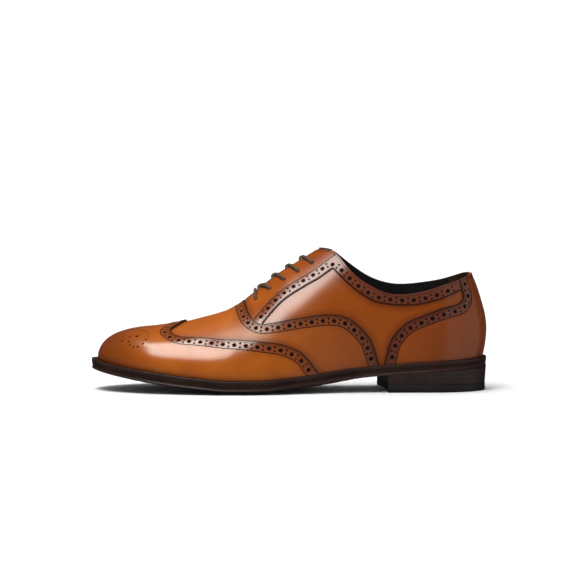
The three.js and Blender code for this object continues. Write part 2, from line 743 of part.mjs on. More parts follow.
// Facings, each with its strip along the collar back to the counter's ear
function facing(side) {
  const front = walkOf((throatEnd + 0.03) * upperLength);
  const low = edgeLine(facingEdge, 9);
  const strip = edgeLine(collarEdge, 13).slice(1);
  const rear = strip.at(-1);
  const outline = [[front, 0], [front, low[0][1]], ...low, ...strip, [0, rear[1]], [0, 0]];
  const sided = (points) => (side > 0 ? points : mirrored(points));
  const underVamp = shifted(vampOutline, -gap, -side * gap);
  const underEar = sided(shifted([[-margin, 0], ...counterHalf, [-margin, girthUnits + margin]], gap, -gap));
  const lines = girths.filter((girth) => girth * side >= 0);
  const flat = panel(walks, lines, sided(outline), gap, gap + facingLeather, [underVamp, underEar]);
  return drilled(flat.subtract(collarCut).subtract(slitCut), [side]);
}
shoe.add(meshOf("facing_outer", facing(1), tan));
shoe.add(meshOf("facing_inner", facing(-1), tan));

// Tongue, under the facings
const tongueLine = edgeLine(tongueEdge, 14);
const tongueOutline = [...tongueLine, ...mirrored(tongueLine).slice(0, -1)];
const tongueTop = -(wall + gap);
shoe.add(meshOf("tongue", panel(walks, girths, tongueOutline, tongueTop - tongueLeather, tongueTop), tan));

// Sole
shoe.add(meshOf("outsole", outsoleSolid(), edgeBrown));
shoe.add(meshOf("welt", weltRing(), edgeBrown));
shoe.add(meshOf("insole", insoleSolid(), sockLeather));
const heelOut = heelOverhang - soleBevel;
const heelTop = (x, across) => walkingFace(x, across) - gap;
shoe.add(meshOf("heel_stack", heelSolid(heelOut, heelOut - heelTaper, heelTop, () => liftThickness + gap), edgeBrown));
shoe.add(
  meshOf("heel_top_piece", heelSolid(heelOut - heelTaper, heelOut - heelTaper, () => liftThickness, () => 0), rubber),
);

// Laces
shoe.add(meshOf("lace_bar", laceBar(), cord));
for (let row = 1; row < eyeletRows; row++) shoe.add(meshOf(`lace_crossing_${row}`, laceCrossing(row), cord));

export default shoe;
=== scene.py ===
# %% [markdown]
# # A tan wing-tip brogue
# The construction model gives the shoe its true last, its sole and where each panel lies. This
# notebook lays the finished leather over it: fine skins with rolled edges, real punch holes,
# thread, laces and a polished, hand-burnished finish. Everything is in millimetres until a mesh
# is made, and the frame comes first, because every piece is placed against it.

# %% Load the frame
import math

import bpy
import numpy as np
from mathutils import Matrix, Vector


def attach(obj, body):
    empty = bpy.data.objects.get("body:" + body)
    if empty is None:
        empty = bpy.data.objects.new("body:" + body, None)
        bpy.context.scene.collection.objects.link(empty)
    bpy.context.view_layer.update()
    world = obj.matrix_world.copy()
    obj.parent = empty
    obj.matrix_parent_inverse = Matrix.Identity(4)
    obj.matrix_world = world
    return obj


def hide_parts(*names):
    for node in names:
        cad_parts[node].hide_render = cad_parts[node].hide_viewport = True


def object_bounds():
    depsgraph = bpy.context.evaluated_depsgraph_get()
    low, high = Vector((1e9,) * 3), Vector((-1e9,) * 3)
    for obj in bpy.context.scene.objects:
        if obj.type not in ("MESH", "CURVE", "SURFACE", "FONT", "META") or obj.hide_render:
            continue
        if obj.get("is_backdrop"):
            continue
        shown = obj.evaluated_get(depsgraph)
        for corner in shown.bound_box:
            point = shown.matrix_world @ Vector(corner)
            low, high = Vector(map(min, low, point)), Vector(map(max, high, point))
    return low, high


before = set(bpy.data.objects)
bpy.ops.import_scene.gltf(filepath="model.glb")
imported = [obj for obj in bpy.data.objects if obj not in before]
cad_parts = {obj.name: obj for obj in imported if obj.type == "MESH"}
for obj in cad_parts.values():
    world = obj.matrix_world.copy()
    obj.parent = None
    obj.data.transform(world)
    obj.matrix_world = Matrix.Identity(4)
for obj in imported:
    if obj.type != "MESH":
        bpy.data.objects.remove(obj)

MM = 0.001
bpy.context.view_layer.update()

# %% [markdown]
# ## The camera
# A product picture of a shoe is taken from far off with a long lens, a little above the sole, so
# that the outline stays true. The camera is placed first, since all that follows is judged through
# it: 1.8 m to the outer side, 180 mm up, aimed at the middle of the upper.

# %% Camera
VIEW_FROM = (-0.00085, 1.8, 0.18)
VIEW_AT = (-0.00085, 0.0, 0.0765)
LENS = 145.1


def put(name, data):
    """A new object in the scene, with its data."""
    made = bpy.data.objects.new(name, data)
    bpy.context.scene.collection.objects.link(made)
    return made


camera_data = bpy.data.cameras.new("camera")
camera_data.lens = LENS
camera_data.sensor_width = 36.0
camera = put("camera", camera_data)
camera.location = VIEW_FROM
aim = Vector(VIEW_AT) - Vector(VIEW_FROM)
camera.rotation_euler = aim.to_track_quat("-Z", "Y").to_euler()
bpy.context.scene.camera = camera
print("camera distance", round(aim.length, 3))

# %% [markdown]
# ## The last
# A shoe is drawn on a last, and every panel is cut to lie on it. The last is a function of two
# numbers: the walk, along the feather line from heel to toe, and the girth, from the crest down
# either side to that line. The tables hold shares of a few real lengths, and a natural cubic
# spline joins their rows, so the shape stays smooth and can be read and changed by hand.

# %% Lengths of the last
UPPER_LENGTH = 294.2
BALL_WIDTH = 92.0
INSTEP_HEIGHT = 92.0
COUNTER_HEIGHT = 64.0
BACK_BULGE = 2.6
HEEL_ROUND = 44.0
HEEL_SQUARENESS = 2.3
TOE_ROUND = 42.0
TOE_DROP = 36.0
COLLAR_HEIGHT = 107.6
HEEL_OVERHANG = 3.7
WAIST_OVERHANG = 3.2
BALL_OVERHANG = 7.0
OUTSOLE_THICKNESS = 5.0
WELT_THICKNESS = 2.5
EDGE_LIFT = 2.6
GAP = 0.3
SEAT_RISE = 15.6
TOE_SPRING = 14.4
SLIT_FRONT = 2.4
SLIT_TOP = 5.5
GIRTH = 100.0

SOLE_LENGTH = UPPER_LENGTH + HEEL_OVERHANG + BALL_OVERHANG
BACK_X = -SOLE_LENGTH / 2 + HEEL_OVERHANG
BALL_TOP = EDGE_LIFT + OUTSOLE_THICKNESS + GAP + WELT_THICKNESS
SOLE_MIDDLE = 0.0196 * BALL_WIDTH
HEEL_WALK = HEEL_ROUND * 1.35
TOE_WALK = TOE_ROUND * 1.3
STRAIGHT_WALK = UPPER_LENGTH - HEEL_ROUND - TOE_ROUND
WHOLE_WALK = HEEL_WALK + STRAIGHT_WALK + TOE_WALK

# %% Tables of the last
SECTION_COLUMNS = ("at", "outer", "inner", "crest", "full", "tuck_outer", "tuck_inner", "lean")
SECTIONS = (
    (0.0, 0.318, 0.318, 1.42, 2.0, 0.08, 0.08, 0.0),
    (0.14, 0.322, 0.318, 1.38, 2.0, 0.08, 0.1, 0.0),
    (0.28, 0.335, 0.3, 1.24, 1.9, 0.07, 0.14, 0.01),
    (0.38, 0.374, 0.272, 1.08, 1.7, 0.06, 0.18, 0.03),
    (0.43, 0.41, 0.282, 1.004, 1.6, 0.05, 0.17, 0.04),
    (0.48, 0.445, 0.312, 0.922, 1.52, 0.05, 0.15, 0.05),
    (0.535, 0.482, 0.358, 0.828, 1.5, 0.05, 0.12, 0.06),
    (0.58, 0.504, 0.398, 0.725, 1.52, 0.05, 0.1, 0.068),
    (0.62, 0.516, 0.432, 0.622, 1.6, 0.055, 0.08, 0.073),
    (0.66, 0.52, 0.46, 0.543, 1.7, 0.06, 0.07, 0.076),
    (0.72, 0.507, 0.48, 0.466, 1.85, 0.06, 0.06, 0.075),
    (0.8, 0.458, 0.462, 0.378, 2.0, 0.06, 0.06, 0.06),
    (0.88, 0.392, 0.408, 0.31, 2.1, 0.07, 0.07, 0.035),
    (0.94, 0.342, 0.352, 0.287, 2.15, 0.07, 0.07, 0.015),
    (1.0, 0.318, 0.322, 0.286, 2.2, 0.06, 0.06, 0.0),
)
RISES = (  # at, heel, toe: how far the welt rises, as shares of SEAT_RISE and TOE_SPRING
    (-0.0125, 1.0, -0.01), (0.04, 0.93, -0.01), (0.12, 0.843, -0.01), (0.22, 0.725, -0.01),
    (0.3, 0.6, -0.01), (0.375, 0.44, -0.01), (0.43, 0.285, -0.01), (0.48, 0.173, -0.01),
    (0.53, 0.07, -0.01), (0.565, 0.01, -0.01), (0.59, -0.01, -0.01), (0.66, -0.01, -0.01),
    (0.69, -0.01, 0.035), (0.735, -0.01, 0.12), (0.785, -0.01, 0.22), (0.86, -0.01, 0.42),
    (0.94, -0.01, 0.645), (1.0, -0.01, 0.87), (1.024, -0.01, 0.98),
)
BACK_CURVE = (  # at: share of COUNTER_HEIGHT. out: behind the feather line, in BACK_BULGE
    (0.0, 0), (0.12, 0.55), (0.28, 1.0), (0.47, 0.72), (0.67, -0.55), (0.84, -1.9), (1.0, -3.5),
    (2.0, -11),
)
COLLAR = (  # at, outer, inner: height of each side's edge over the floor, in COLLAR_HEIGHT
    (-0.06, 0.87, 0.875), (0.034, 0.822, 0.843), (0.063, 0.796, 0.812), (0.1, 0.765, 0.778),
    (0.15, 0.72, 0.754), (0.2, 0.695, 0.741), (0.25, 0.702, 0.755), (0.3, 0.763, 0.81),
    (0.348, 0.866, 0.903), (0.37, 0.94, 0.952), (0.386, 0.984, 0.984), (0.412, 0.994, 0.994),
    (0.445, 0.997, 0.997), (0.5, 1.0, 1.0),
)


def spline(rows, column):
    """The natural cubic spline through a table's rows: its bends at the rows solve one linear
    system, and between two rows the curve is the chord plus the bends' two cubic shares."""
    at = np.array([row[0] for row in rows], float)
    value = np.array([row[column] for row in rows], float)
    step = np.diff(at)
    count = len(at)
    inner = np.arange(1, count - 1)
    system = np.eye(count)
    system[inner, inner - 1] = step[:-1]
    system[inner, inner] = 2 * (step[:-1] + step[1:])
    system[inner, inner + 1] = step[1:]
    pull = np.zeros(count)
    pull[inner] = 6 * np.diff(np.diff(value) / step)
    bend = np.linalg.solve(system, pull)

    def curve(where):
        t = np.clip(where, at[0], at[-1])
        i = np.clip(np.searchsorted(at, t), 1, count - 1)
        width = at[i] - at[i - 1]
        a = (at[i] - t) / width
        b = 1 - a
        curved = (a**3 - a) * bend[i - 1] + (b**3 - b) * bend[i]
        return a * value[i - 1] + b * value[i] + curved * width**2 / 6

    return curve


section = {name: spline(SECTIONS, i) for i, name in enumerate(SECTION_COLUMNS) if i}
heel_rise = spline(RISES, 1)
toe_rise = spline(RISES, 2)
back_out = spline(BACK_CURVE, 1)
collar_outer = spline(COLLAR, 1)
collar_inner = spline(COLLAR, 2)


def ramp(value, start, end):
    """0 before start, 1 after end, and the smooth cubic step between them."""
    share = np.clip((value - start) / (end - start), 0, 1)
    return share * share * (3 - 2 * share)


def mix(a, b, share):
    """The place between a and b at a share of the way."""
    return a + (b - a) * share


# %% [markdown]
# Two helpers turn the walk into a distance along the shoe and back. on_last then gives the point
# of the last at a walk and a girth. It could be a sculpted mesh, but a function can be asked
# anywhere, so holes, seams and edges find their place on it to a fraction of a millimetre.

# %% The surface of the last
def welt_top(x):
    """Height of the welt's top over the floor: level at the ball, rising to the heel and toe."""
    at = (x - BACK_X) / UPPER_LENGTH
    heel = np.clip(heel_rise(at), 0, 1)
    toe = np.clip(toe_rise(at), 0, 1.1)
    return BALL_TOP + SEAT_RISE * heel + TOE_SPRING * toe


def station_of(walk):
    """Distance from the heel along the shoe: the walk slows as it turns round heel and toe."""
    at_heel = HEEL_ROUND * (1 - np.cos(np.minimum(walk / HEEL_WALK, 1) * math.pi / 2))
    share = np.clip((walk - HEEL_WALK - STRAIGHT_WALK) / TOE_WALK, 0, 1)
    at_toe = UPPER_LENGTH - TOE_ROUND + TOE_ROUND * np.sin(share * math.pi / 2)
    straight = HEEL_ROUND + walk - HEEL_WALK
    return np.where(walk < HEEL_WALK, at_heel, np.where(share > 0, at_toe, straight))


def walk_of(station):
    """The walk at a distance from the heel, the reverse of station_of."""
    heel = HEEL_WALK * np.arccos(np.clip(1 - station / HEEL_ROUND, -1, 1)) * 2 / math.pi
    share = np.clip((station - UPPER_LENGTH + TOE_ROUND) / TOE_ROUND, 0, 1)
    toe = HEEL_WALK + STRAIGHT_WALK + TOE_WALK * np.arcsin(share) * 2 / math.pi
    straight = HEEL_WALK + station - HEEL_ROUND
    return np.where(station < HEEL_ROUND, heel, np.where(share > 0, toe, straight))


def on_last(walk, girth):
    """The point of the last at a walk and a girth, as an array of x, y and z. Each section is a
    rounded arch, whose half width closes as a superellipse at the heel and an ellipse at the toe.
    Past either end the walk goes on round the other side."""
    walk, girth = np.broadcast_arrays(np.asarray(walk, float), np.asarray(girth, float))
    girth = np.where(walk < 0, -girth, girth)
    walk = np.abs(walk)
    girth = np.where(walk > WHOLE_WALK, -girth, girth)
    walk = np.where(walk > WHOLE_WALK, 2 * WHOLE_WALK - walk, walk)
    s = station_of(walk)
    at = s / UPPER_LENGTH
    side = np.where(girth >= 0, 1.0, -1.0)
    turn = np.clip(np.abs(girth) / GIRTH, 0, 1) * math.pi / 2
    rise = np.clip(np.cos(turn), 0, 1) ** (2 / section["full"](at))
    tuck = np.where(side > 0, section["tuck_outer"](at), section["tuck_inner"](at))
    wide = np.where(side > 0, section["outer"](at), section["inner"](at))
    from_heel = np.clip((HEEL_ROUND - s) / HEEL_ROUND, 0, 1)
    from_toe = np.clip((s - UPPER_LENGTH + TOE_ROUND) / TOE_ROUND, 0, 1)
    closing = (1 - from_heel**HEEL_SQUARENESS) ** (1 / HEEL_SQUARENESS) * np.sqrt(1 - from_toe**2)
    drop = np.clip((s - UPPER_LENGTH + TOE_DROP) / TOE_DROP, 0, 1)
    height = section["crest"](at) * INSTEP_HEIGHT * np.sqrt(1 - drop**2) * rise
    bulge = (1 - tuck * (1 - rise) ** 3) / (1 - tuck)
    lean = section["lean"](at) * BALL_WIDTH * rise**1.5
    x = BACK_X + s - back_out(height / COUNTER_HEIGHT) * BACK_BULGE * from_heel
    y = side * wide * BALL_WIDTH * closing * np.sin(turn) * bulge - lean - SOLE_MIDDLE
    z = welt_top(BACK_X + s) + GAP + height
    return np.stack([x, y, z], axis=-1)


def unit(vectors):
    """The vectors divided by their lengths."""
    return vectors / np.maximum(np.linalg.norm(vectors, axis=-1, keepdims=True), 1e-9)


def normal_on(walk, girth):
    """The outward normal: the walk's direction crossed with the girth's, from small steps."""
    step = 0.2
    walk, girth = np.broadcast_arrays(np.asarray(walk, float), np.asarray(girth, float))
    high = np.clip(girth + step, -GIRTH, GIRTH)
    low = np.clip(girth - step, -GIRTH, GIRTH)
    along = on_last(walk + step, girth) - on_last(walk - step, girth)
    across = on_last(walk, high) - on_last(walk, low)
    normal = np.cross(along, across)
    normal[..., 2] = np.maximum(normal[..., 2], 0)
    toe = np.abs(walk) > WHOLE_WALK - 1e-3
    return np.where(toe[..., None], (1.0, 0.0, 0.0), unit(normal))


print("toe tip", on_last(WHOLE_WALK, 0.0).round(1))
print("crest at the ball", on_last(200.0, 0.0).round(1))

# %% [markdown]
# ## Soft creases
# A new, lasted shoe isn't a mathematical skin. The leather lies a little hollow behind the toe, it
# ripples where the vamp turns into the waist and it is drawn flat over the counter. A bump in the
# material could fake this, but the outline and the long reflections would stay too straight. So
# soft troughs and ridges about a tenth of a millimetre deep are given one by one, in the last's own
# shares, and every layer follows them, so panels stay on each other.

# %% Relief of the leather
CREASES = (  # at, round, side, length and width in mm, turn in degrees, depth in mm
    (0.7, 0.66, 1, 16, 6.0, 60, -0.1),
    (0.665, 0.76, 1, 15, 6.0, 72, 0.09),
    (0.63, 0.82, 1, 14, 5.5, 80, -0.1),
    (0.515, 0.7, 1, 12, 5.0, 82, -0.09),
    (0.47, 0.74, 1, 13, 5.0, 86, 0.09),
    (0.44, 0.8, 1, 12, 4.5, 88, -0.09),
    (0.335, 0.8, 1, 12, 4.0, 90, -0.13),
    (0.3, 0.84, 1, 12, 3.6, 84, 0.1),
    (0.2, 0.9, 1, 9, 3.5, 80, -0.1),
    (0.7, 0.6, -1, 16, 5.0, 60, -0.15),
    (0.64, 0.75, -1, 15, 5.0, 76, 0.12),
    (0.5, 0.7, -1, 13, 4.0, 84, -0.13),
    (0.42, 0.74, -1, 13, 4.0, 88, 0.12),
    (0.32, 0.82, -1, 12, 4.0, 90, -0.12),
)
SAFE_GIRTH = 96.0  # the relief fades out before the feather line, where the upper meets the welt


def relief(walk, girth):
    """Sum of long soft bumps, each a product of two bell curves along and across its own line."""
    walk, girth = np.broadcast_arrays(np.asarray(walk, float), np.asarray(girth, float))
    side = np.where(walk < 0, -1.0, 1.0)
    walk = np.abs(walk)
    girth = girth * side
    total = np.zeros(walk.shape)
    for at, round_, hand, length, width, turn, depth in CREASES:
        u = walk - walk_of(np.array(at * UPPER_LENGTH))
        v = girth * hand - round_ * GIRTH
        c = math.cos(math.radians(turn))
        s = math.sin(math.radians(turn))
        along = (u * c + v * s) / length
        across = (v * c - u * s) / width
        total += depth * np.exp(-(along**2) - across**2)
    fade = 1 - ramp(np.abs(girth), SAFE_GIRTH - 8, SAFE_GIRTH)
    return total * fade


def off_last(chart, out):
    """Points at a height over the last, for chart pairs of walk and girth. Past a girth of 100 the
    leather is drawn in under the foot: inward by the excess, and down by a sixth of it."""
    walk = chart[..., 0]
    girth = chart[..., 1]
    tucked = np.maximum(np.abs(girth) - GIRTH, 0)
    foot = on_last(walk, girth)
    lifted = np.asarray(out, float) + relief(walk, girth) - tucked
    point = foot + normal_on(walk, girth) * lifted[..., None]
    point[..., 2] += np.maximum(0, welt_top(point[..., 0]) - welt_top(foot[..., 0])) - tucked / 6
    return point


# %% [markdown]
# ## Lines on the leather
# A pattern cutter draws a panel's edge through a few points and then works from that edge: a
# stitch row 1 mm in, the punching 5 mm in. The edges could be drawn as curves in space and shrunk
# on to the last, but then a row beside them would drift. Here an edge is a Catmull-Rom curve in the
# last's own chart of walk and girth, and a row inside it is found by stepping square to the edge
# by real millimetres measured on the last.

# %% Edges of the panels
WING_EDGE = (
    (0.772, 0), (0.792, 0.17), (0.81, 0.28), (0.806, 0.38), (0.785, 0.459), (0.733, 0.509),
    (0.656, 0.569), (0.58, 0.65), (0.512, 0.736), (0.469, 0.822), (0.426, 1),
)
VAMP_EDGE = (
    (0.621, 0), (0.614, 0.26), (0.601, 0.418), (0.582, 0.502), (0.55, 0.543), (0.477, 0.591),
    (0.413, 0.644), (0.361, 0.71), (0.323, 0.791), (0.292, 0.88), (0.271, 1),
)
FACING_EDGE = (
    (0.6, 0.6), (0.57, 0.511), (0.541, 0.452), (0.509, 0.414), (0.46, 0.4), (0.424, 0.402),
    (0.392, 0.39),
)
COLLAR_EDGE = (
    (0.392, 0.39), (0.373, 0.472), (0.348, 0.56), (0.322, 0.632), (0.284, 0.705), (0.235, 0.75),
    (0.18, 0.771), (0.12, 0.765), (0.05, 0.735),
)
COUNTER_EDGE = (
    (0.05, 0.735), (0.05, 0.765), (0.062, 0.784), (0.103, 0.796), (0.155, 0.815), (0.207, 0.84),
    (0.243, 0.896), (0.254, 0.95), (0.26, 1),
)


def chart_of(rows):
    """Table rows of at and round as chart pairs of walk and girth."""
    table = np.array(rows, float)
    return np.stack([walk_of(table[:, 0] * UPPER_LENGTH), table[:, 1] * GIRTH], axis=1)


def lengths_along(chart):
    """Distance run along a chart line, measured on the last."""
    steps = np.linalg.norm(np.diff(on_last(*chart.T), axis=0), axis=1)
    return np.concatenate([[0.0], np.cumsum(steps)])


def at_lengths(chart, wanted):
    """Points of a chart line at given distances along it."""
    run = lengths_along(chart)
    return np.stack([np.interp(wanted, run, chart[:, k]) for k in (0, 1)], axis=-1)


def respaced(chart, spacing):
    """A chart line with its points evenly apart, about one spacing."""
    total = lengths_along(chart)[-1]
    return at_lengths(chart, np.linspace(0, total, max(2, round(total / spacing) + 1)))


def through(points, per_span):
    """The centripetal Catmull-Rom curve through points: knots stand the square root of their
    distance apart, and each span is the cubic with the two ends' slopes."""
    p = np.concatenate([[2 * points[0] - points[1]], points, [2 * points[-1] - points[-2]]])
    knot = np.sqrt(np.maximum(np.linalg.norm(np.diff(p, axis=0), axis=1), 1e-3))[:, None]
    a, b, c = knot[:-2], knot[1:-1], knot[2:]
    chord = (p[2:-1] - p[1:-2]) / b
    start = b * ((p[1:-2] - p[:-3]) / a - (p[2:-1] - p[:-3]) / (a + b) + chord)
    end = b * (chord - (p[3:] - p[1:-2]) / (b + c) + (p[3:] - p[2:-1]) / c)
    t = np.linspace(0, 1, per_span, endpoint=False)[None, :, None]
    p1, p2, m1, m2 = (v[:, None] for v in (p[1:-2], p[2:-1], start, end))
    spans = (2 * t**3 - 3 * t**2 + 1) * p1 + (t**3 - 2 * t**2 + t) * m1
    spans = spans + (3 * t**2 - 2 * t**3) * p2 + (t**3 - t**2) * m2
    return np.concatenate([spans.reshape(-1, p.shape[1]), p[-2][None]])


def smooth_line(rows, spacing=1.0):
    """A panel's edge: the smooth curve through a table's rows, with its points evenly apart."""
    return respaced(through(chart_of(rows), 24), spacing)


def both_sides(half):
    """A line from the crest down the outer side, with its mirror image before it."""
    return np.concatenate([half[:0:-1] * (1, -1), half])


def smoothed(values, reach=2):
    """Running mean, with the ends repeated."""
    padded = np.pad(values, reach, mode="edge")
    return np.convolve(padded, np.ones(2 * reach + 1) / (2 * reach + 1), mode="valid")


def share_per_mm(line, partner):
    """What share of the way from a line to its partner lies one millimetre in, square to it."""
    step = 0.004
    way = partner - line
    here = on_last(*line.T)
    there = line + way * step
    across = (on_last(*there.T) - here) / step
    along = np.gradient(here, axis=0)
    turned = np.linalg.norm(np.cross(along, across), axis=1)
    return smoothed(np.linalg.norm(along, axis=1) / np.maximum(turned, 1e-6))


def distance_to(points, line):
    """Least distance from each point to a polyline: dropped onto each segment, held to its ends."""
    start = line[:-1]
    way = np.diff(line, axis=0)
    square = np.maximum((way**2).sum(1), 1e-9)
    nearest = np.full(len(points), np.inf)
    chunk = 4000
    for first in range(0, len(points), chunk):
        from_start = points[first : first + chunk, None] - start
        share = np.clip((from_start * way).sum(2) / square, 0, 1)
        apart = from_start - share[..., None] * way
        nearest[first : first + chunk] = np.sqrt((apart**2).sum(2).min(1))
    return nearest


def nearest_of(points, lines, far=np.inf):
    """Least distance from each point to any of several lines, and never more than far."""
    near = np.full(len(points), far)
    for line in lines:
        near = np.minimum(near, distance_to(points, line))
    return near


def square_way(row):
    """The chart step that goes one millimetre over the last, square to a row. In space it is the
    normal crossed with the row's direction, and least squares turn that into walk and girth."""
    walk, girth = row.T
    small = 0.05
    high = np.minimum(girth + small, GIRTH)
    low = np.maximum(girth - small, -GIRTH)
    by_walk = (on_last(walk + small, girth) - on_last(walk - small, girth)) / (2 * small)
    by_girth = (on_last(walk, high) - on_last(walk, low)) / (high - low)[:, None]
    along = np.gradient(on_last(walk, girth), axis=0)
    across = np.cross(unit(np.cross(by_walk, by_girth)), unit(along))
    a = (by_walk**2).sum(1)
    b = (by_walk * by_girth).sum(1)
    c = (by_girth**2).sum(1)
    p = (across * by_walk).sum(1)
    q = (across * by_girth).sum(1)
    return np.stack([c * p - b * q, a * q - b * p], axis=1) / (a * c - b * b)[:, None]


FEATHER = 99.4  # the girth where rows of holes and stitches end, just over the feather line


def row_inside(line, partner, inside):
    """The row so many millimetres inside a line, on its partner's side. It moves over the last a
    millimetre at a time, square to itself. What comes too near to the line, in a sharp turn, or
    past the feather line is left out, and the rest is spaced evenly again."""
    hand = np.sign((square_way(line) * (partner - line)).sum())
    spacing = lengths_along(line)[-1] / (len(line) - 1)
    edge = on_last(*line.T)
    steps = math.ceil(abs(inside))
    row = line
    for step in range(1, steps + 1):
        row = row + square_way(row) * hand * inside / steps
        apart = distance_to(on_last(*row.T), edge)
        clear = apart > abs(inside) * step / steps - 0.12
        row = respaced(row[clear & (np.abs(row[:, 1]) < FEATHER)], spacing)
    return row


vamp_half = smooth_line(VAMP_EDGE)
wing_half = smooth_line(WING_EDGE)
facing_line = smooth_line(FACING_EDGE)
collar_line = smooth_line(COLLAR_EDGE)
counter_line = smooth_line(COUNTER_EDGE, 0.8)
print("wing edge", round(lengths_along(wing_half)[-1]), "mm a side")
print("vamp edge", round(lengths_along(vamp_half)[-1]), "mm a side")

# %% [markdown]
# ## Topline and slit
# The quarters are open at the collar and along the slit between the facings. A boolean could cut
# both, but it leaves ragged faces on an edge that everyone looks at. Both openings are cuts
# through the last at a known height or width, so the girth where the leather ends is found by
# halving the interval again and again until the cut is met, and the mesh simply starts there.

# %% Where the quarters end
EYELET_FRONT = 0.59
EYELET_BACK = 0.445
EYELET_ROUND = 0.228
EYELET_ROWS = 5
THROAT_END = 0.634
MIDDLE_BLEND = 0.3 * BALL_WIDTH


def collar_edge_height(point):
    """Height of the collar's edge over the floor: its inner and outer curves, mixed across."""
    at = (point[..., 0] - BACK_X) / UPPER_LENGTH
    share = ramp(point[..., 1], -MIDDLE_BLEND, MIDDLE_BLEND)
    return mix(collar_inner(at), collar_outer(at), share) * COLLAR_HEIGHT


def over_collar(walk, girth):
    """Positive above the collar's edge: the point's height less the edge's."""
    point = on_last(walk, girth)
    return point[..., 2] - collar_edge_height(point)


def in_slit(walk, girth):
    """Positive in the slit: half its width less the point's distance from the crest."""
    point = on_last(walk, girth)
    at = (point[..., 0] - BACK_X) / UPPER_LENGTH
    share = np.clip((at - EYELET_BACK) / (THROAT_END - EYELET_BACK), 0, 1)
    middle = -section["lean"](at) * BALL_WIDTH - SOLE_MIDDLE
    half = mix(SLIT_TOP, SLIT_FRONT, share) / 2
    return half - np.abs(point[..., 1] - middle)


def last_inside(test, walk, side):
    """The girth down to which a test stays positive, by halving."""
    low = np.zeros(walk.shape)
    high = np.full(walk.shape, GIRTH)
    for _ in range(30):
        middle = (low + high) / 2
        inside = test(walk, side * middle) > 0
        low = np.where(inside, middle, low)
        high = np.where(inside, high, middle)
    return np.where(test(walk, side * np.full(walk.shape, 0.01)) > 0, low, 0.0)


def open_girth(walk, side=1):
    """The girth where the quarter ends: at the collar, at the slit, or at the crest before them.
    The two cuts are joined by a fourth-power mean, which rounds their corner."""
    walk = np.asarray(walk, float)
    collar = last_inside(over_collar, walk, side)
    slit = last_inside(in_slit, walk, side)
    slit = slit * ramp(walk, HEEL_WALK, HEEL_WALK + 10)
    slit = slit * (1 - ramp(walk, THROAT_WALK - 4, THROAT_WALK))
    return (collar**4 + slit**4) ** 0.25


THROAT_WALK = float(walk_of(np.array(THROAT_END * UPPER_LENGTH)))
CORNER_WALK = float(facing_line[-1, 0])
print("topline at the corner", open_girth(np.array([CORNER_WALK])).round(1))

# %% [markdown]
# ## From a chart to a skin
# Each leather piece is a patch or two of the chart. A Solidify modifier could give it thickness,
# but not the rolled edge and the thin skived end that real panels have. So the patches are welded
# where they meet on the last, lifted to a top and a base height that may change over the piece,
# and the border between the two faces is closed with a wall: one closed skin of real thickness.

# %% Skins
def strip_between(line, partner, near=(), far=(), count=10):
    """A grid of chart points from a line to its partner. near and far are rows set at real
    distances from each, and count rows lie evenly between."""
    start = share_per_mm(line, partner)[None] * np.array(near)[:, None]
    end = 1 - share_per_mm(partner, line)[None] * np.array(far[::-1])[:, None]
    first = start[-1] if len(near) else np.zeros(len(line))
    last = end[0] if len(far) else np.ones(len(line))
    steps = np.linspace(0, 1, count + 2)[:, None]
    middle = mix(first[None], last[None], steps)
    middle = middle[1 if len(near) else 0 : -1 if len(far) else None]
    shares = np.concatenate([start, middle, end])[..., None]
    return line[None] + shares * (partner - line)[None]


def grid_quads(rows, columns, first=0):
    """Corner numbers of a grid's squares."""
    at = first + np.arange(rows * columns).reshape(rows, columns)
    corners = (at[:-1, :-1], at[1:, :-1], at[1:, 1:], at[:-1, 1:])
    return np.stack(corners, axis=-1).reshape(-1, 4)


def welded(points, quads, grain=2e-4):
    """Joins points that lie together. Returns the first of each kind and the renumbered quads."""
    _, first, where = np.unique(
        np.round(points / grain).astype(np.int64), axis=0, return_index=True, return_inverse=True
    )
    return first, where.reshape(-1)[quads]


def true_faces(quads):
    """Squares that have kept four corners, and the triangles of those that have three."""
    a, b, c, d = quads.T
    whole = (a != b) & (b != c) & (c != d) & (d != a) & (a != c) & (b != d)
    cut = quads[~whole]
    triangles = np.concatenate([cut[:, [0, 1, 2]], cut[:, [0, 2, 3]]])
    a, b, c = triangles.T
    return quads[whole], triangles[(a != b) & (b != c) & (c != a)]


def border_edges(quads, triangles, count):
    """Directed edges that no neighbour runs back along."""
    edges = [quads[:, [k, (k + 1) % 4]] for k in range(4)]
    edges += [triangles[:, [k, (k + 1) % 3]] for k in range(3)]
    edges = np.concatenate(edges)
    keys = edges[:, 0] * count + edges[:, 1]
    back = edges[:, 1] * count + edges[:, 0]
    return edges[~np.isin(keys, back)]


def volume_of(points, triangles):
    """Sum of the pyramids from the origin to each triangle, negative for an inside-out shape."""
    a, b, c = (points[triangles[:, k]] for k in range(3))
    return float((a * np.cross(b, c)).sum() / 6)


def make_mesh(name, points, quads=(), triangles=()):
    """A smooth mesh object from millimetre points. A closed shape that is inside out is turned."""
    quads = np.asarray(quads, np.int64).reshape(-1, 4)
    triangles = np.asarray(triangles, np.int64).reshape(-1, 3)
    halves = np.concatenate([triangles, quads[:, [0, 1, 2]], quads[:, [0, 2, 3]]])
    if volume_of(points - points.mean(0), halves) < 0:
        quads = quads[:, ::-1]
        triangles = triangles[:, ::-1]
    mesh = bpy.data.meshes.new(name)
    mesh.from_pydata((points * MM).tolist(), [], [*quads.tolist(), *triangles.tolist()])
    mesh.update()
    mesh.shade_smooth()
    return put(name, mesh)


def read(collection, field, width, kind=float):
    """One field of a mesh's vertices, corners or faces as an array."""
    flat = np.empty(len(collection) * width, kind)
    collection.foreach_get(field, flat)
    return flat.reshape(-1, width) if width > 1 else flat


